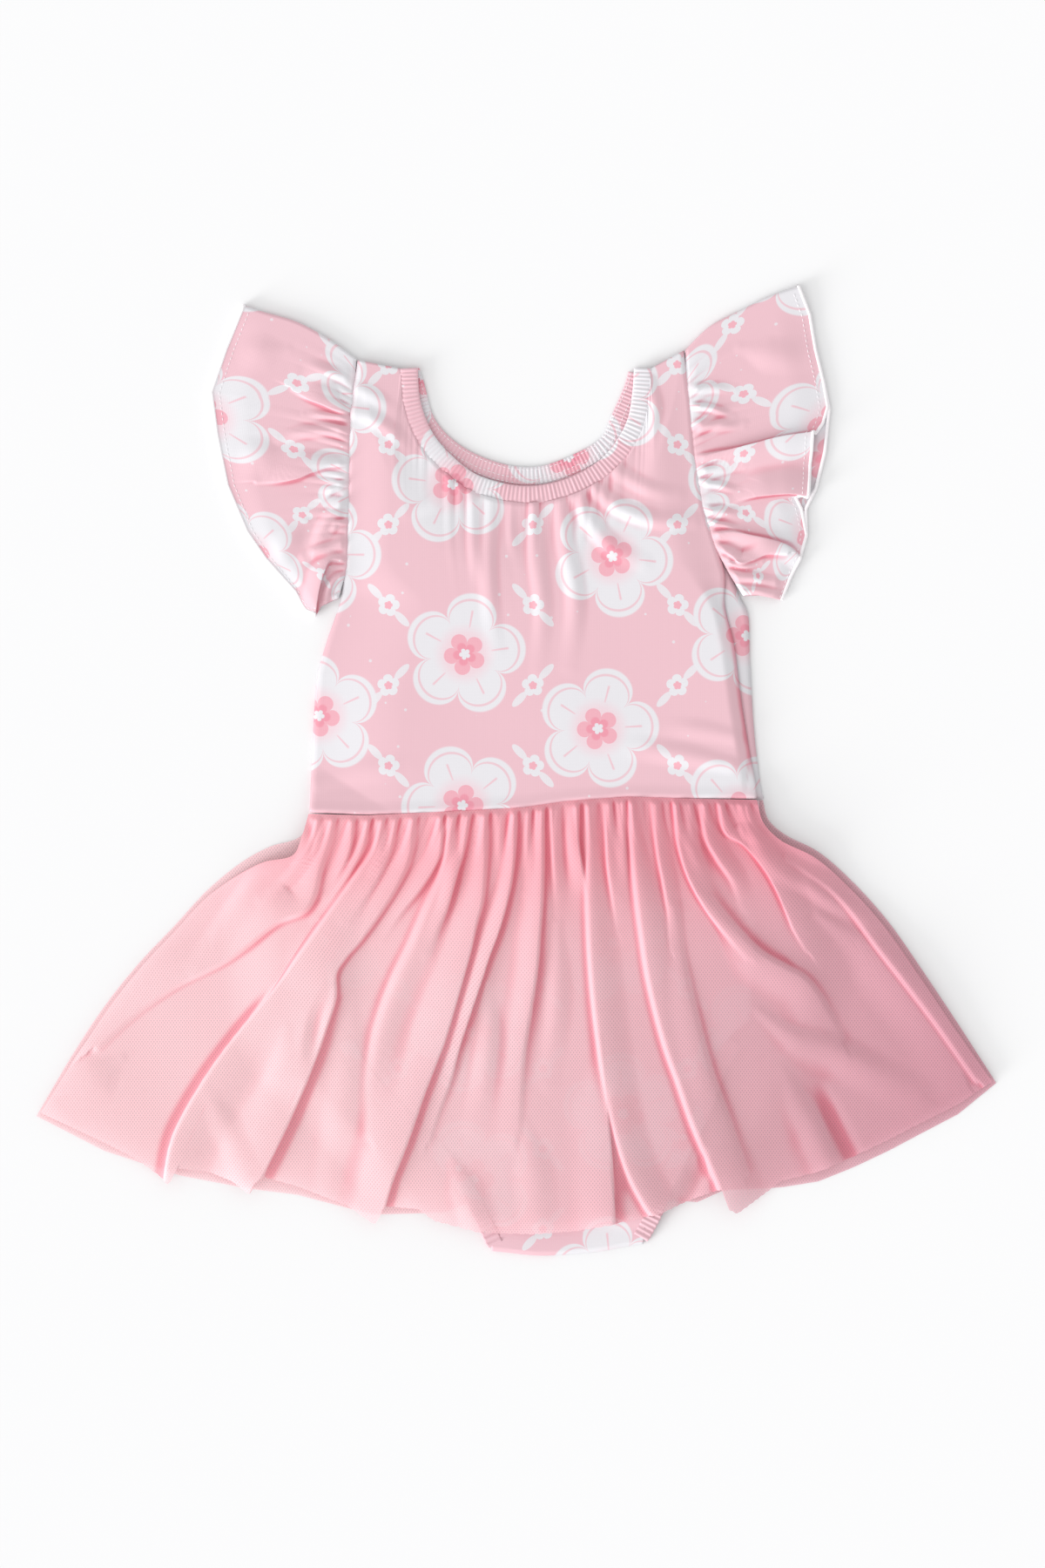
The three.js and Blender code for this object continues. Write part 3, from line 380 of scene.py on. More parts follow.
# %% Panels, gathers and folds as formulas
def panel_point(edges, u, v):
    """Straight from high(u) to low(u) by v, plus each side's own shape by a power of nearness to it."""
    def ruled(share):
        return mix(edges["high"](share), edges["low"](share), v[..., None])
    hold = edges.get("hold", 1)
    to_left = ((1 - u) ** hold)[..., None] * (edges["left"](v) - ruled(np.zeros_like(u)))
    to_right = (u**hold)[..., None] * (edges["right"](v) - ruled(np.ones_like(u)))
    return ruled(u) + to_left + to_right


def uneven(k):
    """An uneven value from 0 to 1 for each whole number: the tail of a large sine."""
    wave = np.sin(12.9898 * k + 4.1) * 43758.5453
    return wave - np.floor(wave)


def gather_height(u, v, count, rise, reach):
    """Ridges that die away down v: each a cosine wave to the power 0.6, for a round top and a narrow valley.

    The waves are pushed along u by a slow sine, so that no two are quite as wide.
    """
    phase = (np.clip(u, 0, 1) + 0.25 / count * np.sin(u * 37) * np.clip(np.sin(np.pi * u) * 9, 0, 1)) * count
    number = np.floor(phase)
    ridge = (0.5 - 0.5 * np.cos(2 * np.pi * phase)) ** 0.6
    fade = np.exp(-((v / (reach * (0.45 + uneven(number + 50)))) ** 1.4))
    return rise * (0.5 + 0.5 * uneven(number)) * ridge * fade


def ribbed(count, share):
    """Even ribs along a seam: one cosine wave each, from 0 to its own height of 0.6 to 1."""
    phase = np.clip(share, 0, 1) * count
    return (0.5 - 0.5 * np.cos(2 * np.pi * phase)) * (0.6 + 0.4 * uneven(np.floor(phase)))


farthest_reach = 36


def laid_folds(folds, x, y, narrow, highest=7.5):
    """Height and sideways lap that folds give at each place. A fold starts narrow, where it leaves a seam.

    The place is measured from the nearest point of the path. Across it the height is half a cosine wave on
    each side, and the lap carries the crest out to the path, over its own steep side, by the square of the
    same wave. Heights that pile up are eased to a limit with the hyperbolic tangent.
    """
    height = np.zeros_like(x)
    lap = np.zeros(x.shape + (2,))
    t = np.linspace(0, 1, 90)
    for row in folds:
        line = edge(rounded(row["path"]))
        crest, ahead = line(t), ahead_of(line, t)
        low, high = crest.min(0) - farthest_reach, crest.max(0) + farthest_reach
        near = (x > low[0]) & (x < high[0]) & (y > low[1]) & (y < high[1])
        place = np.stack([x[near], y[near]], -1)
        k = np.argmin((place[:, :1] - crest[:, 0]) ** 2 + (place[:, 1:] - crest[:, 1]) ** 2, axis=1)
        off, ahead = place - crest[k], ahead[k]
        beyond = np.where((k == 0) | (k == len(t) - 1), np.abs((off * ahead).sum(-1)), 0)
        steep = 1 if row["right"] < row["left"] else -1
        away = smooth(t[k] * 2.2)
        lap_here = row["lap"] * away
        aside = ahead[:, 0] * off[:, 1] - ahead[:, 1] * off[:, 0] + steep * lap_here
        reach = np.where(aside > 0, row["right"], row["left"])
        spread = np.hypot(aside, beyond) / mix(np.minimum(reach, narrow), reach, away)
        wave = np.where(spread < 1, 0.5 + 0.5 * np.cos(np.pi * np.minimum(spread, 1)), 0)
        start, middle, end = row["rise"]
        early, late = mix(start, middle, smooth(t[k] * 2)), mix(middle, end, smooth(t[k] * 2 - 1))
        rise = np.where(t[k] < 0.5, early, late)
        height[near] += rise * wave
        sideways = np.stack([-ahead[:, 1], ahead[:, 0]], -1) * steep
        lap[near] += sideways * (lap_here * np.clip(rise / 2.5, 0, 1) * wave**2)[:, None]
    return highest * np.tanh(height / highest), lap


# %% [markdown]
# A grid of points becomes a mesh of quads, written in whole arrays. Each piece also carries a map of the
# flat cloth in metres, so a print or a net sits on the fabric and follows its folds. A cloth surface is
# open, and a modifier gives knit its real thickness, inwards from the face. A tube such as a casing or a
# thread is closed instead, because its ends would show.
#
# In a hollow between folds, light bounces from cloth to cloth and comes out deeper in colour. Each piece can
# carry how deep its hollows are, and its material paints them a darker, deeper pink: painted shade in the
# creases.

# %% From grid to cloth
knit_thickness = 0.5


def finished(name, mesh, material, node=None, thickness=0.0):
    """An object of a smooth mesh, with its material, its wall and its place in the model."""
    mesh.polygons.foreach_set("use_smooth", np.ones(len(mesh.polygons), bool))
    mesh.materials.append(material)
    piece = bpy.data.objects.new(name, mesh)
    bpy.context.collection.objects.link(piece)
    if thickness:
        wall = piece.modifiers.new("cloth thickness", "SOLIDIFY")
        wall.thickness = thickness * MM
        wall.offset = -1
    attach(piece, "root")
    if node:
        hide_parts(node)
    return piece


def cloth_piece(
    name, grid, flat, material, node=None, thickness=0.0, ring=False, face_down=False
):
    """A mesh from a grid of points (rows, columns, 3) in mm, and a flat map (rows, columns, 2) in mm."""
    rows, columns = grid.shape[:2]
    number = np.arange(rows * columns).reshape(rows, columns)
    flat_number = np.arange(flat.shape[0] * columns).reshape(-1, columns)
    if ring:
        number = np.vstack([number, number[:1]])
    def quads(table):
        corners = [table[:-1, :-1], table[1:, :-1], table[1:, 1:], table[:-1, 1:]]
        return np.stack(corners[::-1] if face_down else corners, -1).reshape(-1, 4)
    faces, map_faces = quads(number), quads(flat_number)
    mesh = bpy.data.meshes.new(name)
    mesh.vertices.add(rows * columns)
    mesh.vertices.foreach_set("co", (grid * MM).astype(np.float32).ravel())
    mesh.loops.add(faces.size)
    mesh.loops.foreach_set("vertex_index", faces.ravel().astype(np.int32))
    mesh.polygons.add(len(faces))
    mesh.polygons.foreach_set("loop_start", np.arange(0, faces.size, 4, dtype=np.int32))
    on_flat = (flat.reshape(-1, 2)[map_faces.ravel()] * MM).astype(np.float32)
    mesh.uv_layers.new(name="flat cloth").data.foreach_set("uv", on_flat.ravel())
    mesh.update(calc_edges=True)
    mesh.validate()
    return finished(name, mesh, material, node, thickness)


def carry(piece, name, values):
    """Keeps one value for each point of a piece, for its material to read."""
    kept = piece.data.attributes.new(name, "FLOAT", "POINT")
    kept.data.foreach_set("value", values.astype(np.float32).ravel())


def closed(piece):
    """Joins a tube's two long edges, fills its ends, and turns all faces outwards."""
    work = bmesh.new()
    work.from_mesh(piece.data)
    bmesh.ops.remove_doubles(work, verts=work.verts, dist=0.001 * MM)
    bmesh.ops.holes_fill(work, edges=[side for side in work.edges if side.is_boundary])
    bmesh.ops.recalc_face_normals(work, faces=work.faces)
    work.to_mesh(piece.data)
    work.free()
    return piece


def hollow_of(height, half, axis):
    """How far each point lies under the average of its neighbours on both sides, in mm, by a running sum."""
    first, last = (np.repeat(height.take([k], axis), half + 1, axis) for k in (0, -1))
    total = np.cumsum(np.concatenate([first, height, last], axis), axis)
    count, width = height.shape[axis], 2 * half + 1
    average = (total.take(range(width, width + count), axis) - total.take(range(count), axis)) / width
    return np.clip(average - height, 0, None)


def area_of(grid):
    """The area of a grid in square metres: half the cross product of each quad's diagonals."""
    one = grid[1:, 1:] - grid[:-1, :-1]
    other = grid[1:, :-1] - grid[:-1, 1:]
    return float(np.linalg.norm(np.cross(one, other), axis=-1).sum() / 2 * MM * MM)


# %% [markdown]
# Colour is set by material, and a few colours are painted shade: the tint in the hollows and the darkening
# across the skirt.
# Paint programs give colours as the eye sees them, and a shader wants them as amounts of light, so each is
# converted once.

# %% Colours
def seen(red, green, blue):
    """A colour as seen on a screen, 0 to 255, as amounts of light."""
    share = np.array([red, green, blue]) / 255
    light = np.where(share <= 0.04045, share / 12.92, ((share + 0.055) / 1.055) ** 2.4)
    return (*light, 1.0)


ground_pink = seen(223, 182, 191)
print_white = seen(219, 217, 221)
blush_pink = seen(226, 202, 209)
motif_pink = seen(227, 167, 179)
deep_pink = seen(225, 147, 163)
# painted shade: the skirt's net is painted lighter at its left and darker, mauver at its right, for light
# falling off from the lower left
net_lit_left = seen(250, 208, 213)
net_shaded_right = seen(208, 146, 161)
# painted shade for the hollows between folds
crease_shade_tint = seen(243, 190, 200)
gathered_tint = seen(250, 216, 222)
thread_white = seen(247, 245, 247)
# painted shade for the grooves of the thread's twist
thread_painted_shade = seen(240, 234, 237)

# %% [markdown]
# A shader formula is a chain of Math nodes, which is hard to follow when each node takes a line. Here a
# value in a shader is wrapped, so that plus, times and the like add the nodes, and a formula reads as it
# would on paper.

# %% Shader formulas
def put(value, socket):
    """Links a shader's value to a socket, or sets a plain one on it."""
    if isinstance(value, Amount):
        socket.id_data.links.new(value.socket, socket)
    else:
        socket.default_value = value


def add_node(tree, kind, inputs, **settings):
    """One node of a kind, with its settings made and its inputs linked or set."""
    node = tree.nodes.new("ShaderNode" + kind)
    for name, value in settings.items():
        setattr(node, name, value)
    for socket, value in inputs.items():
        put(value, node.inputs[socket])
    return node


def math_node(operation):
    """An operation of the Math node, as a function of amounts."""
    def worked_out(amount, *others):
        inputs = dict(enumerate((amount, *others)))
        return Amount(add_node(amount.socket.id_data, "Math", inputs, operation=operation).outputs[0])
    return worked_out


class Amount:
    """A value in a shader, known by its socket. Arithmetic with it adds Math nodes."""

    def __init__(self, socket):
        self.socket = socket

    __add__, __sub__, __mul__, __truediv__ = map(math_node, ("ADD", "SUBTRACT", "MULTIPLY", "DIVIDE"))
    __pow__, __mod__, __abs__ = map(math_node, ("POWER", "FLOORED_MODULO", "ABSOLUTE"))
    floor, nearest, sine, cosine, root = map(math_node, ("FLOOR", "ROUND", "SINE", "COSINE", "SQRT"))
    angle_to, at_least = map(math_node, ("ARCTAN2", "MAXIMUM"))

    def step(self, start, end):
        """0 where the value is at start, 1 at end, smooth between."""
        inputs = {"Value": self, "From Min": start, "From Max": end}
        node = add_node(self.socket.id_data, "MapRange", inputs, interpolation_type="SMOOTHSTEP")
        return Amount(node.outputs["Result"])


def carried(tree, name):
    """The value that the cloth carries under a name."""
    return Amount(add_node(tree, "Attribute", {}, attribute_name=name).outputs["Fac"])


def blend(share, first, second, kind="MIX"):
    """A colour between two, by share, or the first times the second."""
    inputs = {0: share, 6: first, 7: second}
    return Amount(add_node(share.socket.id_data, "Mix", inputs, data_type="RGBA", blend_type=kind).outputs[2])


def tinted(colour, tint, name, low, high):
    """The colour times a tint, where the value that the cloth carries under a name is high."""
    return blend(carried(colour.socket.id_data, name).step(low, high), colour, tint, "MULTIPLY")


def pair_of(x, y):
    """Two amounts as one place."""
    return Amount(add_node(x.socket.id_data, "CombineXYZ", {0: x, 1: y}).outputs[0])


def parts_of(value, kind="SeparateXYZ"):
    """The three amounts in a place or a colour."""
    return [Amount(part) for part in add_node(value.socket.id_data, kind, {0: value}).outputs]


def flat_cloth(tree):
    """x and y on the flat cloth, in millimetres."""
    place = Amount(add_node(tree, "UVMap", {}, uv_map="flat cloth").outputs[0])
    return [part * (1 / MM) for part in parts_of(place)[:2]]


def bump(shader, height, strength, distance):
    """Fine relief from a height, in metres of depth."""
    inputs = {"Height": height, "Strength": strength, "Distance": distance}
    put(Amount(add_node(shader.id_data, "Bump", inputs).outputs[0]), shader.inputs["Normal"])


def new_material(name, finish):
    """A material with what is given for its shader's inputs, and that shader."""
    material = bpy.data.materials.new(name)
    material.use_nodes = True
    shader = material.node_tree.nodes["Principled BSDF"]
    for socket, value in finish.items():
        shader.inputs[socket].default_value = value
    return material, shader


def cloth_finish(roughness, sheen):
    """The dull face of cloth, with the soft glow that its fibres give it at a slant."""
    return {"Roughness": roughness, "Sheen Weight": sheen, "Sheen Roughness": 0.4, "Specular IOR Level": 0.3}


# %% [markdown]
# The knit is printed in white and deeper pink on a pink ground. The print is one of tossed blossoms: five
# round petals, a small rosette inside, and sprigs between. It could be a picture laid on the cloth, but a
# blossom is only a circle whose radius swells five times on the way round, so a formula keeps it sharp.

# %% The blossom print
repeat_width, repeat_height = 72.0, 80.0
blossom_radius, rosette_radius, bud_radius = 30.5, 10.5, 5.6
toss_across, toss_down = 10, 12
leaf_middle, leaf_half_length, leaf_half_width = 9.6, 5.0, 1.9
most_lean = 0.8
dot_spacing = 8.5
petals_halved = 2.5
rib_width, course_height = 0.8, 0.6


def blossom(x, y, turn, radius, dip):
    """Where a blossom of five petals lies, from how far a place is from its middle.

    Its edge is at the radius times (1 - dip + dip times the root of |cos 2.5 angle|). Gives 1 inside it and 0
    outside, the distance as a share of the way to that edge, the distance itself, and the angle.
    """
    angle = y.angle_to(x) + turn
    lobes = abs((angle * petals_halved).cosine()) ** 0.5
    distance = (x * x + y * y).root()
    share = distance / ((lobes * dip + (1 - dip)) * radius)
    return share.step(1.02, 0.98), share, distance, angle


def printed_knit(name, shift=(0.0, 0.0)):
    """Jersey with the blossom print, moved by shift in mm, as panels are cut from other parts of a length."""
    material, shader = new_material(name, cloth_finish(roughness=0.55, sheen=0.15))
    tree = material.node_tree
    x, y = (part + moved for part, moved in zip(flat_cloth(tree), shift))
    # half-drop cells: each next column is moved by half a cell, and a blossom is tossed about its middle
    column = (x / repeat_width).floor()
    dropped = y + column % 2 * (repeat_height / 2)
    row = (dropped / repeat_height).floor()
    noise = add_node(tree, "TexWhiteNoise", {"Vector": pair_of(column, row)}, noise_dimensions="2D")
    toss_x, toss_y, toss_turn = parts_of(Amount(noise.outputs["Color"]), "SeparateColor")
    in_x = x - column * repeat_width - repeat_width / 2 + (toss_x - 0.5) * toss_across
    in_y = dropped - row * repeat_height - repeat_height / 2 + (toss_y - 0.5) * toss_down
    turn = toss_turn * (2 * np.pi)
    petals, share, distance, angle = blossom(in_x, in_y, turn, blossom_radius, dip=0.4)
    rosette, inner, _, _ = blossom(in_x, in_y, turn + 0.63, rosette_radius, dip=0.5)
    rim_line = share.step(0.86, 0.88) * share.step(0.92, 0.9)
    vein = abs((angle * petals_halved).sine()).step(0.1, 0.03)
    vein = vein * share.step(0.42, 0.46) * share.step(0.74, 0.7)
    # dots on the ground between the blossoms
    cells = {"Vector": pair_of(x / dot_spacing, y / dot_spacing), "Scale": 1.0, "Randomness": 0.7}
    dot = Amount(add_node(tree, "TexVoronoi", cells).outputs["Distance"]).step(0.105, 0.075)
    # a sprig in each gap, leaning left and right by turns: a small bloom between two leaves
    gap_x = x - (x / repeat_width).nearest() * repeat_width
    lifted = y - repeat_height / 4
    gap_row = (lifted / (repeat_height / 2)).nearest()
    gap_y = lifted - gap_row * (repeat_height / 2)
    lean = gap_row % 2 * (2 * most_lean) - most_lean
    turned_x = gap_x * lean.cosine() + gap_y * lean.sine()
    turned_y = gap_y * lean.cosine() - gap_x * lean.sine()
    leaf_x, leaf_y = (abs(turned_x) - leaf_middle) / leaf_half_length, turned_y / leaf_half_width
    leaf = (leaf_x * leaf_x + leaf_y * leaf_y).step(1.1, 0.9)
    bud, bud_share, _, _ = blossom(turned_x, turned_y, 0.4, bud_radius, dip=0.35)
    # the colours in the order of printing, each over the ones before
    colour = blend(dot * 0.75, ground_pink, print_white)
    for cover, ink in (
        (leaf * 0.9, print_white),
        (bud, print_white),
        (bud_share.step(0.42, 0.34), motif_pink),
        (petals, print_white),
        (rim_line * 0.8, ground_pink),
        (vein * 0.6, motif_pink),
        (distance.step(17, 8), blush_pink),
        (rosette, motif_pink),
        (inner.step(0.62, 0.5), deep_pink),
        (inner.step(0.3, 0.24), print_white),
    ):
        colour = blend(cover, colour, ink)
    # painted shade: the print is painted darker and pinker in the hollows between folds
    put(tinted(colour, crease_shade_tint, "hollow", low=0.03, high=0.8), shader.inputs["Base Color"])
    # fine jersey ribs, too small to see but enough to break the shine
    ribs, courses = (x * (2 * np.pi / rib_width)).sine(), (y * (2 * np.pi / course_height)).sine()
    bump(shader, ribs + courses, strength=0.15, distance=0.05 * MM)
    return material


knit = printed_knit("printed knit")
brief_knit = printed_knit("printed knit of the brief", (-5.0, 31.0))
sleeve_knit = printed_knit("printed knit of the sleeves", (47.0, 12.0))

# %% [markdown]
# The skirt is power net, a knitted mesh with small diamond holes. It is seen through, so its material lets
# light pass: half of it in a hole, and about a fifth between the holes. Real holes would need millions of
# faces, and a see-through pattern looks the same. Near the waist the net is gathered several layers deep,
# which the cloth carries as its fullness: there less light passes, and the pink is deeper.

# %% The skirt's net
hole_width, hole_height = 1.5, 2.1
passed_by_thread, passed_by_hole = 0.22, 0.5
# where the skirt's painted shade from left to right begins and ends, in mm across
painted_shade_start, painted_shade_end = -150, 290


def power_net(name):
    """Net of staggered diamond holes: a hole is where the product of two cosines is high.

    Cloth that stands on edge, or is gathered several layers deep, lets less light by. What passes is the
    open share raised to the power of the layers, over the upward part of the surface's direction.
    """
    material, shader = new_material(name, cloth_finish(roughness=0.8, sheen=0.08))
    tree = material.node_tree
    x, y = flat_cloth(tree)
    across = (x * (2 * np.pi / hole_width)).cosine()
    down = (y * (2 * np.pi / hole_height)).cosine()
    hole = (across * down).step(0.1, 0.7)
    direction = Amount(add_node(tree, "TexCoord", {}).outputs["Normal"])
    upward = abs(parts_of(direction)[2]).at_least(0.3)
    layers = (carried(tree, "fullness") + 1) / upward
    passed = (hole * (passed_by_hole - passed_by_thread) + passed_by_thread) ** layers
    put(passed * -1 + 1, shader.inputs["Alpha"])
    # painted shade: the net is painted darker from left to right across the skirt
    face = blend(x.step(painted_shade_start, painted_shade_end), net_lit_left, net_shaded_right)
    face = tinted(face, gathered_tint, "fullness", low=0.0, high=1.4)
    # painted shade: the net is painted darker and pinker in the hollows between folds
    put(tinted(face, crease_shade_tint, "hollow", low=0.03, high=0.9), shader.inputs["Base Color"])
    return material


skirt_net = power_net("power net")

# %% [markdown]
# The bodice front is one panel that is pulled into the elastic neck. It is drawn as a grid whose top edge
# runs along one shoulder, round the neck band and along the other shoulder, and whose low edge is the
# waist seam. The grid lines then run the way that the gathers do.

# %% The edges of a bodice panel
def grid_of(columns, rows, power=1.0):
    """Shares across and down for every point of a grid, closer at the top where power is over 1."""
    return np.meshgrid(np.linspace(0, 1, columns), np.linspace(0, 1, rows) ** power)


def raised(plan, height, lap=0.0):
    """Plan points and heights as one grid of points."""
    return np.concatenate([plan + lap, height[..., None]], -1)


front_neck_line = edge(rounded(front_neck))
back_neck_line = edge(rounded(back_neck))
neck_start, neck_end = 0.004, 0.996
strap = 0.1
tuck = 0.8
neck_ribs, back_neck_ribs = 92, 84
neck_gathers = 26


def bodice_edges(neck_line, right_edge, band_width):
    """The four edges of a bodice panel; the high one is shoulder, neck and shoulder."""
    def neck_edge(t):
        return beside(neck_line, mix(neck_start, neck_end, t), np.full(np.shape(t), band_width - tuck))
    ends = neck_edge(np.array([0.0, 1.0]))
    tips = np.array([left_armhole[-1], right_armhole[-1]], float)
    waist_x = [(0, bodice_left[0][0]), (strap, -82), (1 - strap, 78), (1, right_edge[0][0])]
    def high(u):
        t = np.clip((u - strap) / (1 - 2 * strap), 0, 1)
        left = mix(tips[0], ends[0], (u / strap)[..., None])
        right = mix(ends[1], tips[1], ((u - 1 + strap) / strap)[..., None])
        past_left = np.where((u > 1 - strap)[..., None], right, neck_edge(t))
        return np.where((u < strap)[..., None], left, past_left)
    def low(u):
        x = read_table(waist_x, u)
        return np.stack([x, read_table(waist_seam, x) - tuck], -1)
    left, right = (edge(rounded(side[::-1])) for side in (bodice_left, right_edge))
    return {"high": high, "low": low, "left": left, "right": right}


# %% [markdown]
# The bodice front rests on the bodice back at its sides and rides up over the brief at the waist. Its seam
# edges roll down a little, because a seam allowance pulls the cloth under.

# %% The bodice front
def bodice_rest(x, y, v):
    """Clear height under the bodice front: low at its sides and neck, and up over the brief at the waist."""
    side_left = read_table([(b, a) for a, b in bodice_left], y)
    side_right = read_table([(b, a) for a, b in bodice_front_right], y)
    from_side = np.minimum(x - side_left, side_right - x)
    from_seam = y - read_table(waist_seam, x) + tuck
    near_waist = smooth(1 - from_seam / 26)
    at_chest = smooth((y - 95) / 30)
    from_left = smooth((x - side_left) / mix(45, 22, at_chest))
    from_right = smooth((side_right - x) / mix(7, 22, at_chest))
    lifted = np.maximum(np.minimum(np.minimum(from_left, from_right), smooth(v / 0.25)), near_waist)
    beside_sleeve = smooth((y - 104) / 14)
    rest = mix(rest_on_back + beside_sleeve, rest_on_brief + seam_gap, lifted)
    rest += 0.9 * smooth(1 - from_seam / 8)
    rolled_side = mix(0.6, 1.1, beside_sleeve) * (1 - smooth(from_side / 2.2))
    rolled_seam = 1.5 * (1 - smooth(from_seam / 2.6))
    return rest - (rolled_side + rolled_seam)


u, v = grid_of(260, 190)
plan = panel_point(bodice_edges(front_neck_line, bodice_front_right, neck_band_width), u, v)
x, y = plan[..., 0], plan[..., 1]
height, lap = laid_folds(bodice_folds, x, y, narrow=6)
round_neck = (u - strap) / (1 - 2 * strap)
in_notch = (round_neck > 0) & (round_neck < 1)
gathers = gather_height(round_neck, v, neck_gathers, rise=1.0, reach=0.1)
height += smooth(round_neck / 0.4) * smooth((1 - round_neck) / 0.35) * gathers
height += in_notch * 0.4 * ribbed(neck_ribs, round_neck) * np.exp(-((v / 0.05) ** 1.4))
height += 0.3 * np.sin(x / 17 + 1.3) * np.sin(y / 29) * smooth((y - 20) / 40)
height -= in_notch * 0.75 * (1 - smooth(v / 0.014))
bodice_grid = raised(plan, bodice_rest(x, y, v) + gathered_wall + height, lap)
bodice_front = cloth_piece(
    "bodice_front_cloth", bodice_grid, plan, knit, "bodice_front", thickness=knit_thickness
)
carry(bodice_front, "hollow", hollow_of(bodice_grid[..., 2], half=4, axis=1))
print("bodice front, square metres:", round(area_of(bodice_grid), 4))

# %% The bodice back
flat_back_thickness = 0.9
u, v = grid_of(100, 80)
plan = panel_point(bodice_edges(back_neck_line, bodice_back_right, neck_band_width + 0.9), u, v)
bodice_back = cloth_piece(
    "bodice_back_cloth", raised(plan, np.zeros_like(u)), plan, knit, "bodice_back",
    thickness=flat_back_thickness, face_down=True,
)

# %% [markdown]
# The neck edge is turned in over elastic and sewn while the elastic is stretched. When it lets go it pulls
# the casing into fine ribs. The band is a flat oval carried along the neck line, with its top lifted and
# dropped once for each rib.

# %% The neck bands
front_casing_wall, back_casing_wall = 1.6, 1.2
front_casing_rest = 1.9


def banded(line, t, width, wall, rest, ribs, rise, around=20):
    """A closed band along a line, as high as rest: an oval of its width and wall, ribbed on its upper side.

    The oval is a circle whose cosine and sine are raised to a power under 1, which squares its corners.
    """
    turn = np.linspace(0, 2 * np.pi, around)
    across = 0.5 - 0.5 * np.sign(np.cos(turn)) * np.abs(np.cos(turn)) ** 0.6
    up = 0.5 + 0.5 * np.sign(np.sin(turn)) * np.abs(np.sin(turn)) ** 0.7
    place = beside(line, np.repeat(t[:, None], around, 1), width * across[None, :].repeat(len(t), 0))
    lift = rise * ribbed(ribs, np.linspace(0, 1, len(t)))[:, None] * np.where(up > 0.5, up, 0)[None, :]
    return raised(place, rest + wall * up[None, :] + lift)


t = mix(neck_start, neck_end, np.linspace(0, 1, 640))
front_band_grid = banded(
    front_neck_line, t, neck_band_width, front_casing_wall, rest=front_casing_rest, ribs=neck_ribs, rise=0.4
)
back_band_grid = banded(
    back_neck_line, t, neck_band_width + 0.2, back_casing_wall, rest=0, ribs=back_neck_ribs, rise=0.35
)
bands = (("front", front_band_grid, (0, 0), 1.2), ("back", back_band_grid, (18, 28), 2.0))
for side, grid, shift, depth in bands:
    band = cloth_piece(f"neck_band_{side}_casing", grid, grid[..., :2] + shift, knit, f"neck_band_{side}")
    # painted shade in the band's hollows, scaled up on the back band, which lies in shade under the front
    # band
    carry(band, "hollow", hollow_of(grid[..., 2], half=4, axis=0) * depth)
    closed(band)

# %% [markdown]
# The brief is two flat panels under the skirt, and each leg opening has an elastic ring round it. Laid
# flat, the ring is a loop pressed together: its front half lies on its back half.

# %% The brief
def crotch_drop(y):
    """How far the layers step down off the skirt back where the crotch shows below the hem."""
    return rest_on_back * smooth((-204 - y) / 8)


leg_left_line, leg_right_line = edge(rounded(leg_left)), edge(rounded(leg_right))
inset = leg_band_width - tuck
brief_tuck = 0.7
shares = np.array([0.02, 0.15, 0.3, 0.45, 0.6, 0.75, 0.88])
crotch_left, crotch_right = (-20.5, -222), (55, -218.6)
brief_left = edge([*brief_side_left, *beside(leg_left_line, shares, 0 * shares - inset), crotch_left])
brief_right = edge([*brief_side_right, *beside(leg_right_line, shares, 0 * shares + inset), crotch_right])
brief_low = edge(rounded([crotch_left, (-12.5, -222.8), *crotch_edge, (47.5, -219.6), crotch_right]))


def brief_high(u):
    """The brief's high edge, a little below the waist seam."""
    x = mix(brief_side_left[0][0], brief_side_right[0][0], u)
    return np.stack([x, read_table(waist_seam, x) - brief_tuck], -1)


u, v = grid_of(84, 96)
plan = panel_point({"high": brief_high, "low": brief_low, "left": brief_left, "right": brief_right}, u, v)
x, y = plan[..., 0], plan[..., 1]
ripple = 0.22 * np.sin(x / 9 + y / 31) * np.sin(y / 23 + 0.7)
front_height, back_height = rest_on_brief_back + knit_wall - 0.3 + ripple, rest_on_back + 0.2
brief_front, brief_back = (
    cloth_piece(
        f"brief_{side}_cloth", raised(plan, height - crotch_drop(y)), plan, brief_knit, f"brief_{side}",
        thickness=knit_thickness, face_down=side == "back",
    )
    for side, height in (("front", front_height), ("back", back_height))
)

# %% The leg bands
ring_start, ring_end = 0.06, 0.985
leg_ruffles = 44
elastic_pull = 1.4


def leg_ring(line, inward):
    """A ring pressed flat: a long loop in length and height, carried across the band's width, and ruffled."""
    low, high = rest_on_back, rest_on_brief_back + knit_wall
    radius, middle = (high - low) / 2, (high + low) / 2
    run, turns = np.linspace(ring_start, ring_end, 200), np.linspace(-0.5, 0.5, 12)[1:-1] * np.pi
    share = np.concatenate([run, 0 * turns + ring_end, run[::-1], 0 * turns + ring_start])
    out = np.concatenate([0 * run, radius * np.cos(turns), 0 * run, -radius * np.cos(turns)])
    z = middle + radius * np.concatenate([0 * run - 1, np.sin(turns), 0 * run + 1, -np.sin(turns)])
    across = np.linspace(0, 1, 12)
    share, out, z, across = np.broadcast_arrays(share[:, None], out[:, None], z[:, None], across)
    wave = np.sin(2 * np.pi * share * leg_ruffles)
    place = beside(line, share, inward * (across * leg_band_width + 0.25 * wave * (1 - across)))
    place = place + ahead_of(line, share) * out[..., None]
    upper = np.clip((z - middle) / radius, 0, 1)
    return raised(place, z + 0.35 * wave * upper * (1 - across * 0.4) - crotch_drop(place[..., 1]))


def ring_map(grid):
    """The casing's flat strip: round the loop by its length before the elastic drew it up, and across."""
    length = reach_of(np.concatenate([grid, grid[:1]])[:, 0]) * elastic_pull
    return np.stack(np.broadcast_arrays(length[:, None], np.linspace(40, 50, grid.shape[1])), -1)


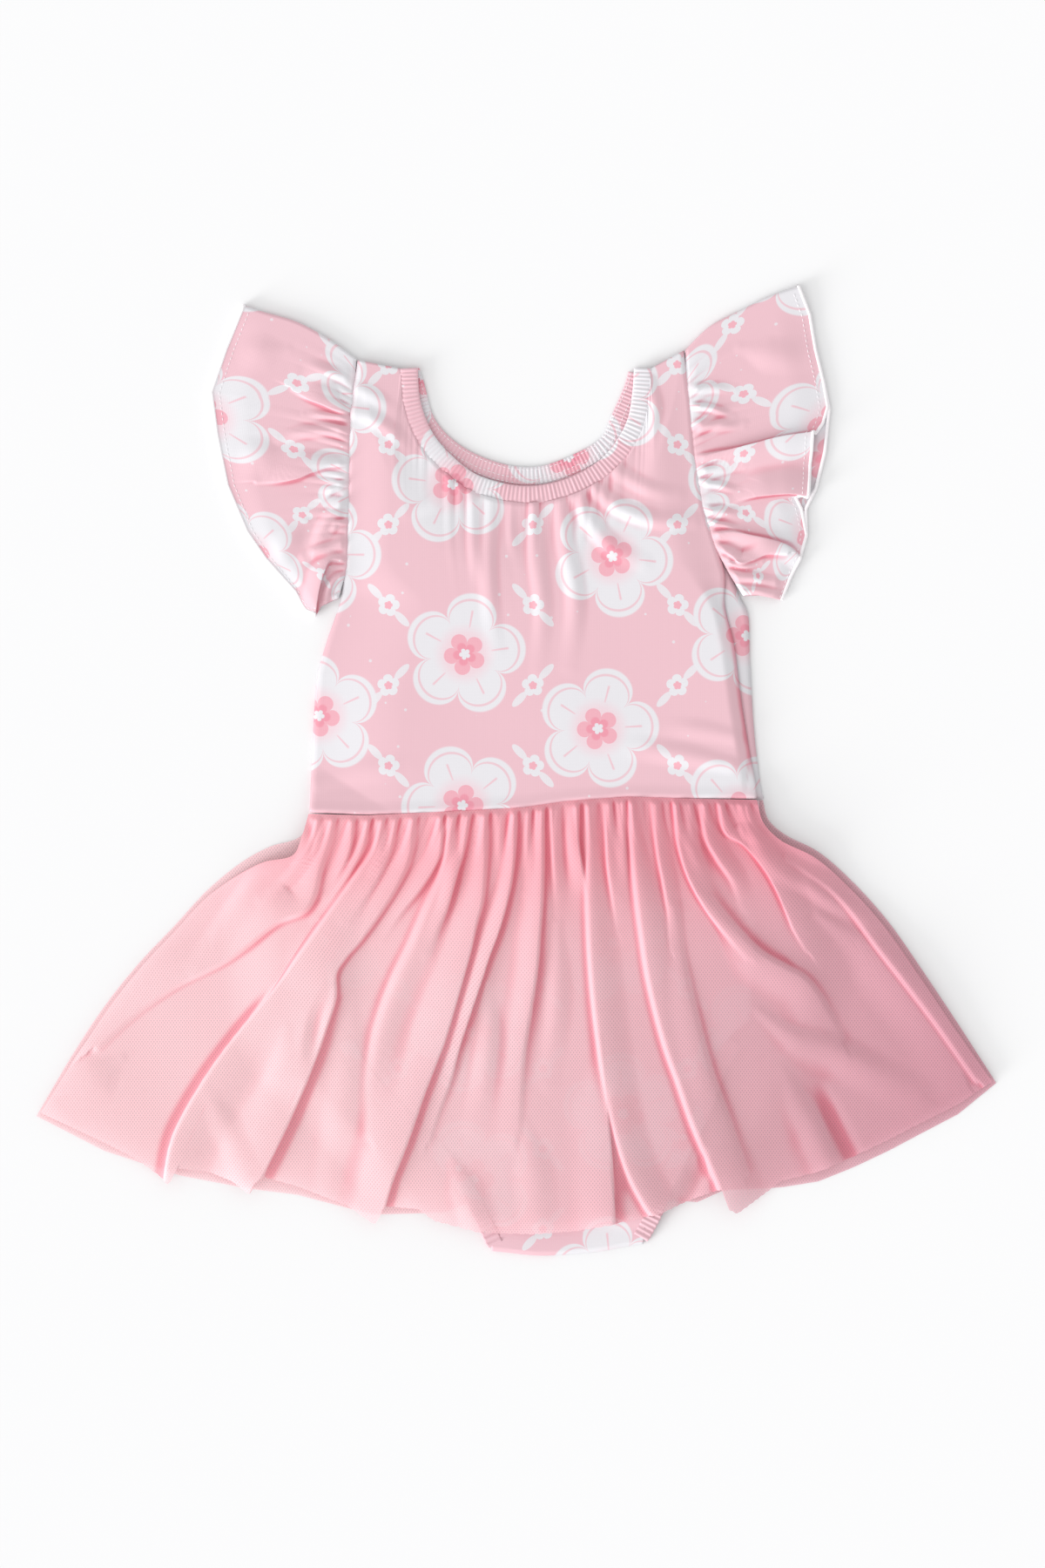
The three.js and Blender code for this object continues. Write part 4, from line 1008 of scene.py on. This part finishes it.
for side, line, inward in (("left", leg_left_line, -1), ("right", leg_right_line, 1)):
    grid = leg_ring(line, inward)
    cloth_piece(
        f"leg_band_{side}_elastic", grid, ring_map(grid), brief_knit, f"leg_band_{side}",
        thickness=knit_thickness, ring=True, face_down=inward < 0,
    )

# %% [markdown]
# The skirt's back layer lies flat under everything. Its front layer is gathered at the waist into close
# ridges, which run together lower down into a few long folds that lap over one another.

# %% The skirt
net_tuck = 1.2
waist_gathers, back_waist_gathers = 56, 96


def skirt_edges(left, right, hem, waist_to_hem=None, hold=1):
    """The four edges of a skirt layer; waist_to_hem says where a thread at the waist comes out at the hem."""
    def high(u):
        x = mix(left[0][0], right[0][0], u)
        return np.stack([x, read_table(waist_seam, x) + net_tuck], -1)
    def low(u):
        x = mix(hem[0][0], hem[-1][0], u)
        if waist_to_hem:
            x = read_table(waist_to_hem, mix(left[0][0], right[0][0], u))
        return np.stack([x, read_table(hem, x)], -1)
    left_line, right_line = edge(rounded(left)), edge(rounded(right))
    return {"high": high, "low": low, "left": left_line, "right": right_line, "hold": hold}


def skirt_rest(x, y):
    """Clear height under the skirt front: up over the brief, and down onto the skirt back beside it."""
    outlines = brief_side_left + leg_left, brief_side_right + leg_right
    left, right = (read_table([(-b, a) for a, b in outline], -y) for outline in outlines)
    outside = np.maximum(np.maximum(left - x, x - right), 0)
    return mix(rest_on_brief, rest_on_back, smooth((outside - 22) / 30))


u, v = grid_of(200, 90)
plan = panel_point(skirt_edges(skirt_back_left, skirt_back_right, skirt_back_hem), u, v)
back_gathers = gather_height(u, v, back_waist_gathers, rise=0.5, reach=0.2)
back_skirt_grid = raised(plan, 0.25 + back_gathers)
skirt_back = cloth_piece(
    "skirt_back_net", back_skirt_grid, plan, skirt_net, "skirt_back", face_down=True
)

# %% The skirt front
u, v = grid_of(481, 175, 1.25)
edges = skirt_edges(skirt_front_left, skirt_front_right, skirt_front_hem, skirt_flow, hold=2.5)
plan = panel_point(edges, u, v)
x, y = plan[..., 0], plan[..., 1]
at_seam = smooth(v / 0.018)
height, lap = laid_folds(skirt_folds, x, y, narrow=4.2)
gathers = gather_height(u, v, waist_gathers, rise=1.0, reach=0.06)
sway = 0.35 * np.sin(x / 13 + y / 40) * np.sin(y / 31 + x / 60) * smooth(v / 0.3)
raw_edge = 0.25 * np.sin(u * 900) * smooth((v - 0.985) / 0.015)
from_under = -0.2 * (1 - smooth(v / 0.012))
skirt_height = skirt_rest(x, y) + net_wall + from_under + at_seam * (gathers + height + sway)
skirt_grid = raised(plan + raw_edge[..., None] * [0, 1], skirt_height, lap * at_seam[..., None])
skirt_front = cloth_piece("skirt_front_net", skirt_grid, plan, skirt_net, "skirt_front")
carry(skirt_front, "hollow", hollow_of(skirt_grid[..., 2], half=5, axis=1))
carry(skirt_front, "fullness", 1.6 * np.exp(-((v / 0.32) ** 1.5)))
areas = [round(area_of(grid), 4) for grid in (skirt_grid, back_skirt_grid)]
print("skirt front and back, square metres:", areas)

# %% [markdown]
# A flutter sleeve is one strip. Its long edge is gathered into the armhole from the underarm at the back,
# over the shoulder, to the underarm at the front. Laid flat it turns over at the shoulder, so the grid
# runs along the back layer, round the turn, and along the front layer.

# %% The flutter sleeves
sleeve_gathers = 26


def sleeve_grid(seam, outline, folds, columns=300, rows=110):
    """The strip's outer face: back layer on the surface, half circle at the turn, front layer in folds."""
    radius = (sleeve_front_rest + gathered_wall) / 2
    front_hem, back_hem, lower = outline["front hem"], outline["back hem"], outline["lower"]
    shared = {"high": edge(seam), "left": edge(rounded(outline["top"]))}
    front = {**shared, "low": edge(front_hem), "right": edge(lower)}
    back = {**shared, "low": edge(back_hem), "right": edge([*lower[:-1], back_hem[-1]])}
    down = np.linspace(0, 1, rows)
    u, v = np.meshgrid(np.linspace(1, 0, 70), down, indexing="ij")
    back_part = raised(panel_point(back, u, v), np.zeros_like(u))
    turn, v = np.meshgrid(np.linspace(-0.5, 0.5, 12)[1:-1] * np.pi, down, indexing="ij")
    at_edge = panel_point(front, np.zeros_like(turn), v)
    outwards = unit(at_edge - panel_point(front, np.full_like(turn, 0.03), v))
    turned = raised(at_edge + outwards * (radius * np.cos(turn))[..., None], radius + radius * np.sin(turn))
    u, v = np.meshgrid(np.linspace(0, 1, columns), down, indexing="ij")
    plan = panel_point(front, u, v)
    height, lap = laid_folds(folds, plan[..., 0], plan[..., 1], narrow=4.5)
    near_turn, at_seam = smooth(u / 0.12), 0.15 + 0.85 * smooth(v / 0.1)
    gathers = gather_height(u, v, sleeve_gathers, rise=1.2, reach=0.2)
    dip_at_seam, dip_at_hem = 0.7 * (1 - smooth(v / 0.03)), 1.1 * near_turn * smooth(v * 4 - 3)
    lift = near_turn * at_seam * (gathers + height) - dip_at_seam - dip_at_hem
    front_lap = lap * (near_turn * at_seam)[..., None]
    front_part = raised(plan, sleeve_front_rest + gathered_wall + lift, front_lap)
    return np.concatenate([back_part, turned, front_part])


def sleeve_map(grid):
    """The flat strip: out from the armhole by the sleeve's depth, and along it by the hem's length."""
    depth = np.linalg.norm(np.diff(grid, axis=1), axis=-1).mean(0)
    out = np.concatenate([[0], np.cumsum(depth)])
    return np.stack(np.broadcast_arrays(out[None, :], reach_of(grid[:, -1])[:, None]), -1)


left_run = [(a + 2 * tuck, b) for a, b in left_armhole[-2:0:-1]]
right_run = [(a - 2 * tuck, b) for a, b in right_armhole[-2::-1]] + [(98.4, 114.8)]
sleeves, sleeve_grids = {}, {}
for side, outline, run, folds in (
    ("left", left_sleeve, left_run, left_sleeve_folds),
    ("right", right_sleeve, right_run, right_sleeve_folds),
):
    grid = sleeve_grid([outline["top"][0], *run, outline["lower"][0]], outline, folds)
    sleeve = cloth_piece(
        f"sleeve_{side}_cloth", grid, sleeve_map(grid), sleeve_knit, f"sleeve_{side}",
        thickness=knit_thickness, face_down=side == "left",
    )
    in_front = grid[..., 2] > sleeve_front_rest
    carry(sleeve, "hollow", hollow_of(grid[..., 2], half=6, axis=0) * in_front)
    sleeves[side], sleeve_grids[side] = sleeve, grid
    print(side, "sleeve, square metres:", round(area_of(grid), 4))

# %% [markdown]
# The sleeves' free hems are overlocked in white: threads wrap the raw edge closely. Seen from a step away
# that is a fine white cord with a twist, so it is a thin tube along the hem whose radius beats once for
# each wrap.

# %% Thread along the edges
wrap_length = 1.1


def thread_material():
    """White thread with a twist: slanting stripes, every other one painted a little darker as shade in the
    twist's grooves.
    """
    material, shader = new_material("white thread", cloth_finish(roughness=0.6, sheen=0.3))
    x, y = flat_cloth(material.node_tree)
    twist = ((x + y * 1.5) * (2 * np.pi / wrap_length)).sine()
    put(blend(twist.step(-1, 1), thread_painted_shade, thread_white), shader.inputs["Base Color"])
    bump(shader, twist, strength=0.2, distance=0.1 * MM)
    return material


def axes_along(points):
    """At each point of a path: the way ahead, the way aside on the level, and the way up from both."""
    ahead = unit(np.gradient(points, axis=0))
    side = unit(np.stack([-ahead[:, 1], ahead[:, 0], 0 * ahead[:, 0]], -1))
    return ahead, side, np.cross(ahead, side)


def points_at(path, stops):
    """Places at distances along a path."""
    return np.stack([np.interp(stops, reach_of(path), column) for column in path.T], -1)


def cord_along(name, path, radius, corners=9):
    """A tube along points in mm: a ring about each, in the plane across the path, whose radius beats."""
    length = reach_of(path)[-1]
    stops = np.linspace(0, length, int(length / 0.45))
    place = points_at(path, stops)
    _, side, up = axes_along(place)
    turn = np.linspace(0, 2 * np.pi, corners)
    beat = radius * (0.92 + 0.16 * np.abs(np.sin(np.pi * stops / wrap_length)))
    ring = side[:, None] * np.cos(turn)[None, :, None] + up[:, None] * np.sin(turn)[None, :, None]
    flat = np.stack(np.broadcast_arrays(stops[:, None], np.linspace(0, 4, corners)), -1)
    return closed(cloth_piece(name, place[:, None] + ring * beat[:, None, None], flat, white_thread))


# a cord is sunk into the hem's edge, but its middle stays high enough to lie on the surface
cord_sink = [0, 0, 0.45]
lowest_cord = [-np.inf, -np.inf, 1.0]
white_thread = thread_material()
hem_cords = {
    side: cord_along(f"sleeve_{side}_overlock", np.maximum(grid[:, -1] - cord_sink, lowest_cord), radius=0.9)
    for side, grid in sleeve_grids.items()
}

# %% [markdown]
# Coverstitch holds the elastic casing down. Each stitch is a short bead of thread, and there are hundreds,
# so one bead is worked out once and copied by adding its points to every place in one array.

# %% Stitches
def stitch_row(name, path, spacing, length=1.7, width=0.35):
    """Beads at places a spacing apart: at each an ellipsoid, stretched along the path's direction.

    A bead is rings of points by latitude, closed at both ends by a flat cap.
    """
    points = points_at(path, np.arange(spacing / 2, reach_of(path)[-1], spacing))
    latitude, turn = np.meshgrid(
        np.linspace(0.08, np.pi - 0.08, 5), np.linspace(0, 2 * np.pi, 7)[:-1], indexing="ij"
    )
    bead = np.stack([np.cos(latitude), np.sin(latitude) * np.cos(turn), np.sin(latitude) * np.sin(turn)], -1)
    bead = bead * [length / 2, width / 2, width / 2]
    verts = points[:, None] + bead.reshape(-1, 3) @ np.stack(axes_along(points), 1)
    number = np.arange(latitude.size).reshape(latitude.shape)
    wrapped = np.roll(number, -1, 1)
    sides = np.stack([number[:-1], wrapped[:-1], wrapped[1:], number[1:]], -1).reshape(-1, 4)
    caps = [number[0][::-1], number[-1]]
    offsets = np.arange(len(points)) * latitude.size
    faces = (sides[None] + offsets[:, None, None]).reshape(-1, 4).tolist()
    faces += [list(cap + offset) for offset in offsets for cap in caps]
    mesh = bpy.data.meshes.new(name)
    mesh.from_pydata((verts.reshape(-1, 3) * MM).tolist(), [], faces)
    mesh.uv_layers.new(name="flat cloth")
    mesh.update()
    return closed(finished(name, mesh, white_thread))


for number, column in enumerate((3, 5, 7), 1):
    stitch_row(f"neck_stitches_{number}", back_band_grid[:, column] + [0, 0, 0.08], spacing=2.5)
hem_stitches = {
    side: stitch_row(f"sleeve_{side}_hem_stitches", grid[82:, -7] + [0, 0, 0.05], spacing=2.6)
    for side, grid in sleeve_grids.items()
}
print("hem cords and stitch rows:", [piece.name for piece in (*hem_cords.values(), *hem_stitches.values())])

# %% [markdown]

# %% [markdown]
# The garment lies on a plain white surface under a large soft light from the lower left, and the camera
# looks straight down. A low soft sun gives every edge the short blurred shade that makes it lie on the
# surface, and an even white sky fills the shade.

# %% Surface and light
white_surface, _ = new_material(
    "white surface", {"Base Color": (0.825, 0.825, 0.83, 1), "Roughness": 0.9, "Specular IOR Level": 0.0}
)
surface_mesh = bpy.data.meshes.new("surface")
corners = [(x, y, -0.3 * MM) for x, y in ((-3, -3), (3, -3), (3, 3), (-3, 3))]
surface_mesh.from_pydata(corners, [], [(0, 1, 2, 3)])
surface_mesh.materials.append(white_surface)
surface = bpy.data.objects.new("surface", surface_mesh)
bpy.context.collection.objects.link(surface)

sky = bpy.data.worlds.new("white studio")
sky.use_nodes = True
sky.node_tree.nodes["Background"].inputs["Color"].default_value = (1, 1, 1, 1)
sky.node_tree.nodes["Background"].inputs["Strength"].default_value = 0.83
bpy.context.scene.world = sky


def soft_sun(name, energy, spread, height, towards):
    """A sun lamp in degrees: how wide it looks, how high it stands, and the compass way its light goes."""
    lamp = bpy.data.lights.new(name, "SUN")
    lamp.energy = energy
    lamp.angle = np.radians(spread)
    sun = bpy.data.objects.new(name, lamp)
    sun.rotation_euler = (np.radians(90 - height), 0, np.radians(towards - 90))
    bpy.context.collection.objects.link(sun)


soft_sun("soft key", energy=1.1, spread=60, height=35, towards=34)
soft_sun("low key", energy=2.3, spread=22, height=12, towards=34)

# %% Camera
camera_height = 2.5
photo_middle = (-5.2 * MM, 10.9 * MM)
photo_length = 782.6 * MM
film_width = 36
camera_data = bpy.data.cameras.new("straight down")
camera_data.sensor_fit = "AUTO"
camera_data.sensor_width = film_width
camera_data.lens = film_width * camera_height / photo_length
camera_data.clip_end = 20
camera = bpy.data.objects.new("straight down", camera_data)
camera.location = (*photo_middle, camera_height)
bpy.context.collection.objects.link(camera)
bpy.context.scene.camera = camera
bpy.context.scene.view_settings.view_transform = "Standard"
